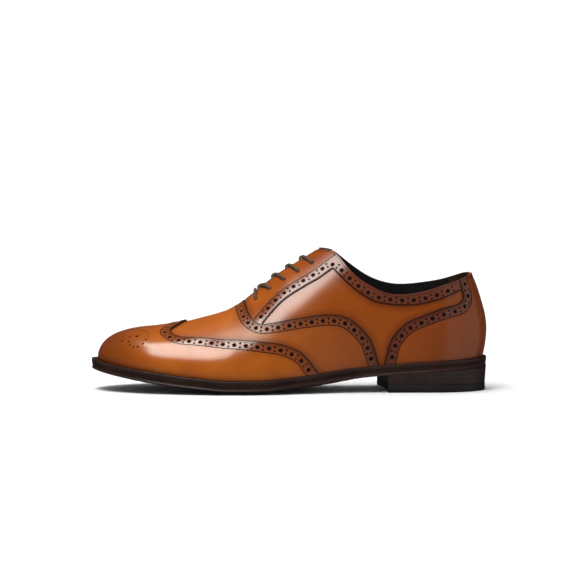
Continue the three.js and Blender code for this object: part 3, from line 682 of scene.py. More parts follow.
def facing_up(grid):
    """The grid with its squares turning the same way as walk and girth do, by its signed area."""
    along = grid[1:, :-1] - grid[:-1, :-1]
    across = grid[:-1, 1:] - grid[:-1, :-1]
    area = (along[..., 0] * across[..., 1] - along[..., 1] * across[..., 0]).sum()
    return grid if area > 0 else grid[:, ::-1]


def skin(name, patches, top, base):
    """A closed skin over chart patches. top and base are heights over the last: numbers, or
    functions of the chart pairs and their places on the last."""
    patches = [facing_up(grid) for grid in patches]
    sizes = [grid.shape[0] * grid.shape[1] for grid in patches]
    firsts = np.concatenate([[0], np.cumsum(sizes)[:-1]])
    chart = np.concatenate([grid.reshape(-1, 2) for grid in patches])
    quads = np.concatenate(
        [grid_quads(*grid.shape[:2], first) for grid, first in zip(patches, firsts)]
    )
    kept, quads = welded(off_last(chart, np.zeros(len(chart))), quads)
    chart = chart[kept]
    place = on_last(*chart.T)
    heights = [h(chart, place) if callable(h) else np.full(len(chart), h) for h in (top, base)]
    points = np.concatenate([off_last(chart, height) for height in heights])
    quads, triangles = true_faces(quads)
    count = len(chart)
    border = border_edges(quads, triangles, count)
    walls = np.concatenate([border[:, ::-1], border + count], axis=1)
    quads = np.concatenate([quads, quads[:, ::-1] + count, walls])
    triangles = np.concatenate([triangles, triangles[:, ::-1] + count])
    piece = make_mesh(name, points, quads, triangles)
    corners = read(piece.data.loops, "vertex_index", 1, np.int64)
    placed = np.concatenate([chart, chart])[corners].astype(np.float32)
    piece.data.uv_layers.new(name="chart").uv.foreach_set("vector", placed.ravel())
    return piece


def rolled(high, radius, *edges):
    """Height of a top face that rounds off to its edges: a quarter circle of the given radius."""
    lines = [on_last(*edge.T) for edge in edges]

    def top(chart, place):
        inside = 1 - np.clip(nearest_of(place, lines) / radius, 0, 1)
        return high - radius * (1 - np.sqrt(1 - inside**2))

    return top


# %% [markdown]
# ## Quarters and lining
# The quarters are the tan leather that shows in the windows between the overlays, and inside them
# lies a black lining. Together they are as thick as the hollow wall of the construction model. It
# could be thickened from one sheet, but two skins can part at the eyelets and take two leathers.
# Both are one grid, from the topline and slit down to the feather line, that runs from toe
# to toe round the heel and closes along the crest in front of the throat.

# %% Quarters
LINING = 0.95
WALL = 2.0
TUCK = 1.6


def topline(walks):
    """The open edge for signed walks, negative on the inner side, as chart pairs."""
    outer = open_girth(np.abs(walks), 1)
    inner = open_girth(np.abs(walks), -1)
    return np.stack([walks, np.where(walks < 0, inner, outer)], axis=1)


def quarter_grid(columns, rows):
    """Rows from the open edge down to the feather line, closer near the top, and the tuck."""
    walks = np.linspace(-WHOLE_WALK, WHOLE_WALK, columns)
    top = topline(walks)
    foot = np.stack([walks, np.full(columns, GIRTH)], axis=1)
    shares = np.linspace(0, 1, rows)[:, None, None] ** 1.2
    return np.concatenate([mix(top[None], foot[None], shares), foot[None] + (0, TUCK)])


quarters = skin("quarters", [quarter_grid(461, 36)], 0.0, -LINING)
lining = skin("lining", [quarter_grid(301, 24)], -LINING - 0.05, -WALL)
print("quarters", len(quarters.data.polygons), "faces, lining", len(lining.data.polygons))

# %% [markdown]
# ## Vamp and wing cap
# The vamp covers the forefoot and the wing cap lies over it, its wings running back along both
# sides to the waist. A plain grid trimmed to the edge would give a stair of broken faces. So the
# grid starts at the panel's own edge, its rows follow that edge for the first ten millimetres,
# because the punching and the stitches lie there, and the rest runs on to the toe's tip.

# %% Vamp and wing cap
EDGE_ROWS = (0, 0.12, 0.3, 0.6, 1.2, 2.0, 3.0, 4.2, 5.4, 6.6, 7.8, 9.0, 10.2)
VAMP_BASE, VAMP_TOP = 0.12, 1.05
WING_BASE, WING_TOP = 1.2, 2.35
EDGE_RADIUS = 0.45
UNDERLAP = 9.0  # how far the vamp runs on under the wing cap
TIP_SHARE = 0.4  # share of half an edge whose rows run to the toe's tip
FOOT_AHEAD = 30.0  # how far before its edge's end the cap's last row meets the feather line


def with_feet(grid):
    """The grid with its first and last columns drawn in under the foot."""
    first = grid[:, :1].copy()
    last = grid[:, -1:].copy()
    first[..., 1] = np.sign(first[..., 1]) * (GIRTH + TUCK)
    last[..., 1] = np.sign(last[..., 1]) * (GIRTH + TUCK)
    return np.concatenate([first, grid, last], axis=1)


def run_shares(half):
    """How far along a line each of its points lies, from 0 to 1."""
    run = lengths_along(half)
    return run / run[-1]


def to_toe(half):
    """Where the rows that start at half an edge end: the upper part at the toe's tip, where all
    girths meet, and the rest spread back along the feather line, to meet the edge squarely."""
    share = run_shares(half)
    girth = GIRTH * ramp(share, 0, TIP_SHARE)
    back = np.clip((share - TIP_SHARE) / (1 - TIP_SHARE), 0, 1)
    return np.stack([mix(WHOLE_WALK, half[-1, 0] + FOOT_AHEAD, back), girth], axis=1)


def to_wing(half):
    """Rows of the vamp end under the wing cap, at a place further down the wing than their own."""
    share = run_shares(half)
    under = row_inside(wing_half_edge, to_toe(wing_half_edge), UNDERLAP)
    under[0, 1] = 0
    slope = (under[-1] - under[-4]) / (under[-1, 1] - under[-4, 1])
    foot = under[-1] + slope * (GIRTH - under[-1, 1])
    under = np.concatenate([under, foot[None]])
    run = lengths_along(under)
    return at_lengths(under, (share + 0.8 * share * (1 - share)) * run[-1])


wing_half_edge = respaced(wing_half, 1.3)
wing_edge = both_sides(wing_half_edge)
wing_partner = both_sides(to_toe(wing_half_edge))
wing_grid = with_feet(strip_between(wing_edge, wing_partner, EDGE_ROWS, (), 40))
wing = skin("wing_cap_leather", [wing_grid], rolled(WING_TOP, EDGE_RADIUS, wing_edge), WING_BASE)

vamp_half_edge = respaced(vamp_half, 1.3)
vamp_edge = both_sides(vamp_half_edge)
vamp_partner = both_sides(to_wing(vamp_half_edge))
vamp_grid = with_feet(strip_between(vamp_edge, vamp_partner, EDGE_ROWS, (), 24))
vamp = skin("vamp_leather", [vamp_grid], rolled(VAMP_TOP, EDGE_RADIUS, vamp_edge), VAMP_BASE)
print("wing", len(wing.data.polygons), "faces, vamp", len(vamp.data.polygons))

# %% [markdown]
# ## Counter
# The heel counter wraps round the back of the heel. Its edge climbs in an ear up to the collar. It
# could be two halves with a back seam, but this shoe has one sheet from ear to ear, so both halves
# of the chart are welded, with negative walks on the inner side.

# %% Counter
COUNTER_BASE, COUNTER_TOP = 0.12, 1.05
EAR_TURN = 0.52  # share of the edge that faces the back, the rest faces the feather line
EAR_FOOT = 14.0  # how far behind its edge's end the counter's last row meets the feather line


def ear_line():
    """The counter's edge on one side, from the topline down the ear and forward to the feather."""
    first = counter_line[0]
    top = open_girth(np.array([first[0]]), 1)[0]
    rise = np.linspace(top, first[1], 16)[:-1]
    climb = np.stack([np.full(15, first[0]), rise], axis=1)
    return respaced(np.concatenate([climb, counter_line]), 1.2)


ear = ear_line()
ear_run = run_shares(ear)
mirror = np.array([-1.0, 1.0])
ears = [ear, ear * mirror]


def counter_partner(run):
    """Where the counter's rows end: down the back, then forward along the feather line."""
    top = open_girth(np.zeros(1), 1)[0]
    down = np.clip(run / EAR_TURN, 0, 1)
    on = np.clip((run - EAR_TURN) / (1 - EAR_TURN), 0, 1)
    return np.stack([on * (ear[-1, 0] - EAR_FOOT), mix(top, GIRTH, down)], axis=1)


def below_topline(row, margin):
    """The part of a counter row that lies below the open edge by a margin of girth."""
    return row[row[:, 1] > topline(row[:, 0])[:, 1] + margin]


counter_half = strip_between(ear, counter_partner(ear_run), EDGE_ROWS[:11], (), 16)
foot_row = np.concatenate([counter_half[:, -1:], counter_half[:, -1:]], axis=1)
foot_row[:, 1, 1] = GIRTH + TUCK
counter_low = counter_half[-1:, counter_half[-1, :, 1] > GIRTH - 1e-6]
counter_low = np.concatenate([counter_low, counter_low + (0, TUCK)])
counter_patches = [counter_half, foot_row, counter_low]
counter_patches += [patch * mirror for patch in counter_patches]
counter_top = rolled(COUNTER_TOP, EDGE_RADIUS, *ears)
counter = skin("counter_leather", counter_patches, counter_top, COUNTER_BASE)
print("counter", len(counter.data.polygons), "faces")

# %% [markdown]
# ## Facings
# Each facing is the lace stay and the collar strip in one: from under the vamp up beside the slit,
# round the corner at the top and back along the collar to the counter's ear. One grid bent round
# that corner would crowd its faces there, so it is two patches, one on each side of the line from
# its lower corner up to the collar. Where another panel covers it, it thins out to a skived end.

# %% Facings
FACING_BASE, FACING_TOP = 0.12, 0.95
FACING_ROWS = EDGE_ROWS[:6]
FACING_NEAR = (0, 0.12, 0.3, 0.6, 1.2, 2.0, 3.2, 4.6, 6.0, 7.4, 8.8)
CORNER_TOP = 0.385  # at where the line up from the facing's corner meets the collar
EAR_LAP = 5.0  # how far the strip runs on under the counter's ear
SKIVED_TOP, SKIVED_BASE = -0.05, -0.15


def open_edge(from_walk, to_walk, side, count):
    """As many points of the open edge as wanted, evenly apart, from one walk to another."""
    walks = np.linspace(from_walk, to_walk, 400)
    edge = np.stack([walks, open_girth(walks, side)], axis=1)
    return at_lengths(edge, np.linspace(0, lengths_along(edge)[-1], count))


def facing_patches(side):
    """The lines and grids of the front patch, from the lower edge to the slit and round to the
    collar, and of the strip behind it."""
    corner_top = float(walk_of(np.array(CORNER_TOP * UPPER_LENGTH)))
    start = facing_line[0] + (facing_line[0] - facing_line[6]) * 1.2
    low = respaced(np.concatenate([start[None], facing_line]), 1.4)
    high = open_edge(THROAT_WALK, corner_top, side, len(low))
    rear_walk = ear[0, 0] - EAR_LAP
    back = np.linspace(collar_line[-1, 0], rear_walk, 5)[1:]
    tail = np.stack([back, np.full(4, collar_line[-1, 1])], axis=1)
    strip = respaced(np.concatenate([collar_line, tail]), 1.4)
    edge = open_edge(corner_top, rear_walk, side, len(strip))
    front = strip_between(low, high, FACING_NEAR, FACING_ROWS, 10)
    rear = strip_between(strip, edge, FACING_ROWS, FACING_ROWS, 5)
    return low, high, strip, edge, front, rear


def over_vamp(chart):
    """How many millimetres a place lies behind the vamp's edge, and less than 0 under it."""
    edge_walk = np.interp(np.abs(chart[:, 1]), vamp_half_edge[:, 1], vamp_half_edge[:, 0])
    return edge_walk - chart[:, 0]


def uncovered(chart):
    """How far a place of the facing lies from the vamp and the ear, which cover its ends."""
    return np.minimum(over_vamp(chart), np.abs(chart[:, 0]) - ear[0, 0])


def sunk(top, base):
    """A top and a base that drop to a thin skived end where another panel covers the facing."""
    def high(chart, place):
        return mix(SKIVED_TOP, top(chart, place), ramp(uncovered(chart), -0.6, 0.3))

    def low(chart, place):
        return mix(SKIVED_BASE, base, ramp(uncovered(chart), -0.6, 0.3))

    return high, low


facings = []
facing_lines = {}
for name, side in (("facing_outer_leather", 1), ("facing_inner_leather", -1)):
    low, high, strip, edge, front, rear = facing_patches(side)
    hand = np.array([1.0, side])
    lines = [line * hand for line in (low, high, strip, edge)]
    facing_lines[side] = lines
    heights = sunk(rolled(FACING_TOP, 0.4, *lines), FACING_BASE)
    made = skin(name, [front * hand, rear * hand], *heights)
    facings.append(made)
print("facings", [len(piece.data.polygons) for piece in facings])

# %% [markdown]
# ## Punching
# Broguing is real punching: a big hole, then a pair of small ones set across the band, all along
# the edge. Dark dots in a texture would look flat as soon as light falls along the leather, so
# each hole is cut right through its panel. All cutters of a panel are joined in one mesh and taken
# away in one boolean, and they flare at the top, so every hole has a tiny bright rim.

# %% Small turned bodies
def frames_on(chart):
    """Walk direction, girth direction and normal of the last at chart pairs."""
    walk = chart[:, 0]
    girth = chart[:, 1]
    normal = normal_on(walk, girth)
    along = unit(on_last(walk + 0.2, girth) - on_last(walk - 0.2, girth))
    return along, unit(np.cross(normal, along)), normal


def turned(origin, axis, first, second, profile, sides):
    """Many closed bodies at once. The profile's rows give the distance along the axis and the
    radius there, and each ring is origin + axis * distance + radius * (first * cos + second * sin).
    The first and last rows are the points that close the body."""
    turn = np.arange(sides) * 2 * math.pi / sides
    spoke = first[:, None] * np.cos(turn)[:, None] + second[:, None] * np.sin(turn)[:, None]
    rings = origin[:, None, None] + axis[:, None, None] * profile[None, 1:-1, None, :1]
    rings = rings + spoke[:, None] * profile[None, 1:-1, None, 1:]
    bodies, levels = rings.shape[:2]
    ends = origin[:, None] + axis[:, None] * profile[None, [0, -1], :1]
    points = np.concatenate([rings.reshape(-1, 3), ends.reshape(-1, 3)])
    at = np.arange(bodies * levels * sides).reshape(bodies, levels, sides)
    nxt = np.roll(at, -1, axis=2)
    quads = np.stack([at[:, :-1], nxt[:, :-1], nxt[:, 1:], at[:, 1:]], axis=-1).reshape(-1, 4)
    foot = np.broadcast_to((at.size + 2 * np.arange(bodies))[:, None], (bodies, sides))
    low = np.stack([foot, nxt[:, 0], at[:, 0]], axis=-1).reshape(-1, 3)
    high = np.stack([foot + 1, at[:, -1], nxt[:, -1]], axis=-1).reshape(-1, 3)
    return points, quads, np.concatenate([low, high])


def ring_quads(levels, count):
    """Point numbers of stacked rings, the same shifted by one, and the squares between rings."""
    at = np.arange(levels * count).reshape(levels, count)
    nxt = np.roll(at, -1, axis=1)
    return at, nxt, np.stack([at[:-1], nxt[:-1], nxt[1:], at[1:]], axis=-1).reshape(-1, 4)


def capped(rings, tips):
    """A closed body of stacked rings, with a fan from each end ring to its tip."""
    at, nxt, quads = ring_quads(*rings.shape[:2])
    count = rings.shape[1]
    low = np.stack([np.full(count, at.size), nxt[0], at[0]], axis=1)
    high = np.stack([np.full(count, at.size + 1), at[-1], nxt[-1]], axis=1)
    return np.concatenate([rings.reshape(-1, 3), tips]), quads, np.concatenate([low, high])


def joined(parts):
    """Several (points, quads, triangles) as one."""
    first = np.cumsum([0] + [len(points) for points, _, _ in parts])
    points = np.concatenate([points for points, _, _ in parts])
    quads = np.concatenate([quads + shift for (_, quads, _), shift in zip(parts, first)])
    triangles = np.concatenate([tris + shift for (_, _, tris), shift in zip(parts, first)])
    return points, quads, triangles


# %% Cutters
BAND_ROW = 4.9  # mm from a panel's edge to the row of holes
COLLAR_ROW = 4.0
PITCH = 8.7
BIG_HOLE = 1.6
SMALL_HOLE = 0.78
PAIR_APART = 1.5  # mm from the row's middle to each small hole
EYELET_HOLE = 1.55
PEG_BELOW = 0.35  # how far a cutter reaches past a panel's two faces
PEG_ABOVE = 0.7
ROW_END = 7.0  # mm from the last hole of a facing to the end of its strip


def pegs(chart, radius, base, top, sides, flare=0.16):
    """Closed cutters standing on the last, which widen by the flare just at the panel's top."""
    along, across, normal = frames_on(chart)
    profile = np.array([
        (base - PEG_BELOW, 0.0),
        (base - PEG_BELOW, radius),
        (top - 0.16, radius),
        (top + 0.02, radius + flare),
        (top + PEG_ABOVE, radius + flare * 3),
        (top + PEG_ABOVE, 0.0),
    ])
    return turned(off_last(chart, np.zeros(len(chart))), normal, along, across, profile, sides)


def punched(row, steps, base, top, clear=0.0):
    """Big holes at the steps along a row, and between them small ones in pairs across it."""
    big = at_lengths(row, steps)
    between = (steps[1:] + steps[:-1]) / 2
    way = square_way(row)
    run = lengths_along(row)
    across = np.stack([np.interp(between, run, way[:, k]) for k in (0, 1)], axis=1)
    middle = at_lengths(row, between)
    small = np.concatenate([middle + across * PAIR_APART, middle - across * PAIR_APART])
    small = small[np.abs(small[:, 1]) < FEATHER]
    if clear:
        big = big[uncovered(big) > clear + BIG_HOLE]
        small = small[uncovered(small) > clear]
    return [pegs(big, BIG_HOLE, base, top, 20), pegs(small, SMALL_HOLE, base, top, 10)]


def broguing(row, base, top, start=0.5, end=0.5):
    """Punching along a row, spaced so that a part of a pitch is left at each end."""
    total = lengths_along(row)[-1]
    count = max(2, round(total / PITCH - start - end) + 1)
    steps = (np.arange(count) + start) * total / (count - 1 + start + end)
    return punched(row, steps, base, top)


def gimping(line, partner, base, top, pitch=2.1):
    """Small bites along the panel's edge, which give it its pinked outline."""
    row = row_inside(line, partner, -0.42)
    total = lengths_along(row)[-1]
    count = round(total / pitch)
    bites = at_lengths(row, (np.arange(count) + 0.5) * total / count)
    return pegs(bites, 0.85, base, top, 10, 0.05)


def cut_by(piece, parts):
    """Takes the cutters away from the piece and shades what is left by angle."""
    cutter = make_mesh(piece.name + "_cutter", *joined(parts))
    taken = piece.modifiers.new("holes", "BOOLEAN")
    taken.operation = "DIFFERENCE"
    taken.solver = "MANIFOLD"
    taken.object = cutter
    before = len(piece.data.polygons)
    bpy.context.view_layer.update()
    seen = piece.evaluated_get(bpy.context.evaluated_depsgraph_get())
    mesh = bpy.data.meshes.new_from_object(seen)
    piece.modifiers.clear()
    piece.data = mesh
    bpy.data.objects.remove(cutter)
    mesh.set_sharp_from_angle(angle=math.radians(38))
    print(piece.name, "cut", before, "to", len(mesh.polygons), "faces")


def on_top(line, height):
    """A chart line's points in space at a height over the last."""
    return off_last(line, np.full(len(line), float(height)))


def true_normals(piece, edges, clear=0.5):
    """Round a hole the cut leaves thin slivers that would shade unevenly. So the corners of the
    top face take the last's own normal, the cross product of its two directions at their chart
    place. Corners near a rolled edge, or on another face, keep the normal that they have."""
    mesh = piece.data
    chart = read(mesh.uv_layers["chart"].uv, "vector", 2)
    zero = np.zeros(len(chart))
    step = np.array([0.25, 0.0])
    turn = np.array([0.0, 0.25])
    along = off_last(chart + step, zero) - off_last(chart - step, zero)
    across = off_last(chart + turn, zero) - off_last(chart - turn, zero)
    normal = unit(np.cross(along, across))
    sizes = read(mesh.polygons, "loop_total", 1, np.int64)
    flat = np.repeat(read(mesh.polygons, "normal", 3), sizes, axis=0)
    place = read(mesh.vertices, "co", 3) / MM
    near = nearest_of(place, edges)
    corners = read(mesh.loops, "vertex_index", 1, np.int64)
    apart = np.linalg.norm(on_last(*chart.T) - place[corners], axis=1)
    kept = ((flat * normal).sum(1) > 0.8) & (near[corners] > clear) & (apart < 4)
    kept &= np.abs(chart[:, 1]) < GIRTH - 0.5
    mesh.normals_split_custom_set(np.where(kept[:, None], normal, 0.0).tolist())
    print(piece.name, "corners with the last's normal", int(kept.sum()), "of", len(kept))


# %% Holes of the wing cap and the vamp
DOT, EYE = 0.78, 1.25  # radii in mm
MEDALLION_SIDE = (  # at, round, radius: one half of the figure punched in the toe
    (0.898, 0.41, EYE), (0.915, 0.6, DOT), (0.905, 0.645, DOT), (0.893, 0.637, DOT),
    (0.881, 0.575, DOT), (0.8745, 0.49, DOT), (0.8695, 0.42, DOT), (0.87, 0.347, DOT),
    (0.878, 0.295, DOT), (0.888, 0.245, DOT), (0.9185, 0.525, DOT), (0.917, 0.41, DOT),
    (0.936, 0.372, DOT), (0.936, 0.487, DOT), (0.91, 0.19, DOT), (0.932, 0.14, DOT),
)
MEDALLION_MIDDLE = ((0.849, EYE), (0.868, DOT), (0.884, DOT), (0.91, EYE), (0.95, DOT))


def medallion():
    """The half figure on both sides of the crest, and the holes on the crest itself."""
    half = np.array(MEDALLION_SIDE)
    middle = np.array(MEDALLION_MIDDLE)
    middle = np.stack([middle[:, 0], np.zeros(len(middle)), middle[:, 1]], axis=1)
    table = np.concatenate([half, half * (1, -1, 1), middle])
    chart = chart_of(table[:, :2])
    parts = []
    for radius in np.unique(table[:, 2]):
        parts.append(pegs(chart[table[:, 2] == radius], radius, WING_BASE, WING_TOP, 12))
    return parts


wing_row = row_inside(wing_edge, wing_partner, BAND_ROW)
vamp_row = row_inside(vamp_edge, vamp_partner, BAND_ROW)
wing_parts = broguing(wing_row, WING_BASE, WING_TOP)
cut_by(wing, [*wing_parts, *medallion(), gimping(wing_edge, wing_partner, WING_BASE, WING_TOP)])
true_normals(wing, [on_top(wing_edge, WING_TOP)])
vamp_parts = broguing(vamp_row, VAMP_BASE, VAMP_TOP)
cut_by(vamp, [*vamp_parts, gimping(vamp_edge, vamp_partner, VAMP_BASE, VAMP_TOP)])
true_normals(vamp, [on_top(vamp_edge, VAMP_TOP)])

# %% Holes of the counter and the facings
counter_parts = []
counter_rows = {}
for side in (1.0, -1.0):
    hand = np.array([side, 1.0])
    line = ear * hand
    partner = counter_partner(ear_run) * hand
    counter_rows[side] = below_topline(row_inside(line, partner, BAND_ROW), 0.0)
    counter_parts += broguing(counter_rows[side], COUNTER_BASE, COUNTER_TOP)
    counter_parts.append(gimping(line, partner, COUNTER_BASE, COUNTER_TOP))
cut_by(counter, counter_parts)
top_run = np.linspace(-ear[0, 0], ear[0, 0], 60)
true_normals(counter, [on_top(line, COUNTER_TOP) for line in (*ears, topline(top_run))])


def eyelet_charts(side):
    """Chart places of one side's eyelets: evenly apart, at one girth."""
    at = np.linspace(EYELET_FRONT, EYELET_BACK, EYELET_ROWS)
    girth = np.full(EYELET_ROWS, side * EYELET_ROUND * GIRTH)
    return np.stack([walk_of(at * UPPER_LENGTH), girth], axis=1)


def facing_row(low, high, strip, edge):
    """One row from the stay's front end up to the corner hole and back along the collar, and how
    far along it the corner hole lies."""
    front = row_inside(low, high, BAND_ROW)
    rear = row_inside(strip, edge, COLLAR_ROW)
    corner_hole = (front[-1:] + rear[:1]) / 2
    row = respaced(np.concatenate([front[:-1], corner_hole, rear[1:]]), 1.0)
    return row, lengths_along(np.concatenate([front[:-1], corner_hole]))[-1]


def past_corner(low):
    """The stay's lower edge drawn on past its corner, as the line that its upper seam follows."""
    way = (low[-1] - low[-5]) / lengths_along(low[-5:])[-1]
    return np.concatenate([low, low[-1] + way * np.arange(1.4, 12, 1.4)[:, None]])


def facing_holes(row, at_corner):
    """Punching with one hole right in the corner, and the others a pitch apart before and after."""
    end = lengths_along(row)[-1] - ROW_END
    before = at_corner - np.arange(int(at_corner / PITCH), 0, -1) * PITCH
    after = np.linspace(at_corner, end, round((end - at_corner) / PITCH) + 1)
    return punched(row, np.concatenate([before, after]), FACING_BASE, FACING_TOP, 2.0)


quarter_parts = []
facing_rows = {}
for piece, side in zip(facings, (1, -1)):
    low, high, strip, edge = facing_lines[side]
    facing_rows[side], at_corner = facing_row(low, high, strip, edge)
    holes = facing_holes(facing_rows[side], at_corner)
    stay = slice(0, len(low) - 4)
    bites = [gimping(low[stay], high[stay], FACING_BASE, FACING_TOP)]
    bites.append(gimping(strip[4:], edge[4:], FACING_BASE, FACING_TOP))
    eyelets = [pegs(eyelet_charts(side), EYELET_HOLE, FACING_BASE, FACING_TOP, 20, 0.2)]
    cut_by(piece, holes + bites + eyelets)
    true_normals(piece, [on_top(line, FACING_TOP) for line in facing_lines[side]])
    quarter_parts.append(pegs(eyelet_charts(side), EYELET_HOLE, -WALL, 0.0, 20, 0.0))
cut_by(quarters, quarter_parts)
cut_by(lining, quarter_parts)
true_normals(quarters, [on_top(topline(np.linspace(-160, 160, 400)), 0.0)])

# %% [markdown]
# ## Under the holes
# A punched panel has a strip of leather behind it, so that no bright edge shows through the holes.
# Here it is nearly black, so it also paints the deep shade in the holes. A dark colour painted
# under them would do from one side only. Each strip is a narrow skin that follows its row of holes,
# and the figure on the toe has a patch of its own.

# %% Backing strips
BACKING = 0.08
MEDALLION_AT = (0.842, 0.962)
MEDALLION_ROUND = 70.0


def band_along(row, half, count=5):
    """A grid of rows beside a row, from half a width before it to half a width behind it."""
    steps = np.linspace(-half, half, count)[:, None, None]
    grid = row[None] + square_way(row)[None] * steps
    return np.stack([grid[..., 0], np.clip(grid[..., 1], -FEATHER, FEATHER)], axis=-1)


def backing_and_hole_shade(name, row, base, half=2.5):
    """A thin strip just under a panel's base, along its row of holes."""
    return skin(name, [band_along(row, half)], base - 0.03, base - 0.03 - BACKING)


backings = [
    backing_and_hole_shade("wing_backing", wing_row, WING_BASE),
    backing_and_hole_shade("vamp_backing", vamp_row, VAMP_BASE),
]
for name, side in (("outer", 1.0), ("inner", -1.0)):
    row = below_topline(counter_rows[side], 1.2)
    backings.append(backing_and_hole_shade("counter_backing_" + name, row, COUNTER_BASE))
    row = facing_rows[int(side)]
    backings.append(backing_and_hole_shade("facing_backing_" + name, row[uncovered(row) > 1.0], FACING_BASE))
patch_walk = walk_of(np.linspace(*MEDALLION_AT, 40) * UPPER_LENGTH)[:, None]
patch_girth = np.linspace(-MEDALLION_ROUND, MEDALLION_ROUND, 61)[None]
toe_patch = np.stack(np.broadcast_arrays(patch_walk, patch_girth), axis=-1)
under_wing = WING_BASE - 0.03
backings.append(skin("medallion_backing", [toe_patch], under_wing, under_wing - BACKING))
print("backing strips", len(backings))

# %% [markdown]
# ## Thread
# Two close rows of stitches hold a panel's edge and one row runs inside the punching. A dashed
# line in a texture is the usual short cut, but a stitch is round and throws a shadow. So stitches
# are short, plump capsules that sink half their thickness into the leather. A row of them is
# worked out as arrays: the middles lie a stitch apart, and each capsule points along the row.

# %% Stitches
STITCH = 1.75  # mm from one stitch to the next
THREAD = 0.21
EDGE_SEAMS = (1.15, 2.3)  # mm from a panel's edge to its double seam
BAND_SEAM = 8.4
TOPLINE_SEAM = 1.5


def capsules(middles, ahead, normal, pitch, thread):
    """Plump capsules at the middles, each along its own direction: a ring profile that starts and
    ends in a point."""
    axis = unit(ahead)
    side = unit(np.cross(axis, normal))
    half = pitch * 0.43
    shoulder = (half * 0.86, thread * 0.75)
    side_end = (half * 0.4, thread)
    rear = [(-half, 0.0), (-shoulder[0], shoulder[1]), (-side_end[0], side_end[1])]
    profile = np.array([*rear, side_end, shoulder, (half, 0.0)])
    return turned(middles, axis, side, np.cross(axis, side), profile, 6)


def stitches(row, height, pitch=STITCH, thread=THREAD):
    """Capsules along a row on the last, half sunk into the leather at a height over it."""
    total = lengths_along(row)[-1]
    count = max(2, int(total / pitch))
    middles = (np.arange(count) + 0.5) * total / count
    chart = at_lengths(row, middles)
    ahead = at_lengths(row, middles + 0.3)
    behind = at_lengths(row, middles - 0.3)
    tops = [off_last(c, np.full(count, height + 0.03)) for c in (behind, chart, ahead)]
    return capsules(tops[1], tops[2] - tops[0], normal_on(*chart.T), pitch, thread)


def seams(name, parts):
    """Rows of stitches as one mesh."""
    made = make_mesh(name, *joined(parts))
    print(name, len(made.data.polygons), "faces")
    return made


def edge_seams(line, partner, height, insides=(*EDGE_SEAMS, BAND_SEAM)):
    """The rows of stitches inside a panel's edge."""
    return [stitches(row_inside(line, partner, inside), height) for inside in insides]


threads = [
    seams("wing_thread", edge_seams(wing_edge, wing_partner, WING_TOP)),
    seams("vamp_thread", edge_seams(vamp_edge, vamp_partner, VAMP_TOP)),
]
heel_seams = []
stay_seams = []
for side in (1, -1):
    hand = np.array([side, 1.0])
    for inside in (*EDGE_SEAMS, BAND_SEAM):
        row = row_inside(ear * hand, counter_partner(ear_run) * hand, inside)
        heel_seams.append(stitches(below_topline(row, 0.8), COUNTER_TOP))
    low, high, strip, edge = facing_lines[side]
    longer = past_corner(low)
    half_way = len(low) // 2
    upper = row_inside(longer, longer + high[half_way] - low[half_way], BAND_SEAM)
    upper = upper[np.abs(upper[:, 1]) > open_girth(upper[:, 0], side) + 0.4]
    stay_rows = [row_inside(low, high, EDGE_SEAMS[0]), upper]
    stay_rows += [row_inside(strip, edge, EDGE_SEAMS[0])]
    stay_rows += [row_inside(high, low, TOPLINE_SEAM), row_inside(edge, strip, TOPLINE_SEAM)]
    stay_seams += [stitches(row[uncovered(row) > 0.8], FACING_TOP) for row in stay_rows]
heel_top = topline(np.linspace(-ear[0, 0] + 0.8, ear[0, 0] - 0.8, 60))
heel_seams.append(stitches(row_inside(heel_top, heel_top + (0, 5), TOPLINE_SEAM), COUNTER_TOP))
threads.append(seams("counter_thread", heel_seams))
threads.append(seams("facing_thread", stay_seams))

# %% [markdown]
# ## Laces
# One round lace holds the facings: straight across the first pair of eyelets, then each half
# passes under its facing to the slit, up and over the other facing, and down into the next eyelet.
# A simulated cord would take long and settle the same way, because the lace is held at every
# eyelet. So its run is given at a few places of one crossing, each crossing repeats it,
# and a round section is carried along. The two ends stop under the facings, where nobody sees.

# %% Lace
LACE_RADIUS = 1.2
LACE_LOW = -3.35  # the strand under a facing, between lining and tongue
LACE_OVER = 2.12  # the strand over a facing
CROSSING = (  # share of the pitch, girth towards the far side, height over the last
    (0.0, -22.8, -0.9), (0.0, -22.4, -2.4), (0.04, -20.4, LACE_LOW), (0.12, -13.0, LACE_LOW),
    (0.2, -6.0, LACE_LOW + 0.2), (0.27, -1.9, -1.5), (0.3, 1.2, 0.9), (0.36, 4.6, LACE_OVER + 0.1),
    (0.53, 10.0, LACE_OVER), (0.8, 17.5, LACE_OVER), (0.96, 21.6, LACE_OVER - 0.3),
    (1.0, 22.75, 0.9),
)
BAR = ((-22.75, 0.9), (-21.6, 1.85), (-17.5, LACE_OVER), (-8.0, LACE_OVER), (-2.0, LACE_OVER + 0.1))
LAST_END = ((-22.8, -0.9), (-22.4, -2.4), (-21.2, -3.1))
eyelet_walk = eyelet_charts(1)[:, 0]
eyelet_pitch = eyelet_walk[0] - eyelet_walk[1]


def lace_half(side, shift):
    """One half of the lace, from the middle of the bar to its end under the last eyelet. side is
    the side that it first goes down on, and shift keeps the halves apart in the slit."""
    bar = np.array(BAR)[::-1]
    rows = [np.stack([np.full(5, eyelet_walk[0]), -side * bar[:, 0], bar[:, 1]], axis=1)]
    cross = np.array(CROSSING)
    for step in range(EYELET_ROWS - 1):
        to = -side if step % 2 == 0 else side
        middle = np.exp(-(((cross[:, 1] - 0.5) / 7) ** 2))
        walk = eyelet_walk[step] - cross[:, 0] * eyelet_pitch + shift * middle * (-1) ** step
        rows.append(np.stack([walk, to * cross[:, 1], cross[:, 2]], axis=1))
    end = np.array(LAST_END)
    last = side if EYELET_ROWS % 2 == 1 else -side
    rows.append(np.stack([np.full(3, eyelet_walk[-1]), -last * end[:, 0], end[:, 1]], axis=1))
    return np.concatenate(rows)


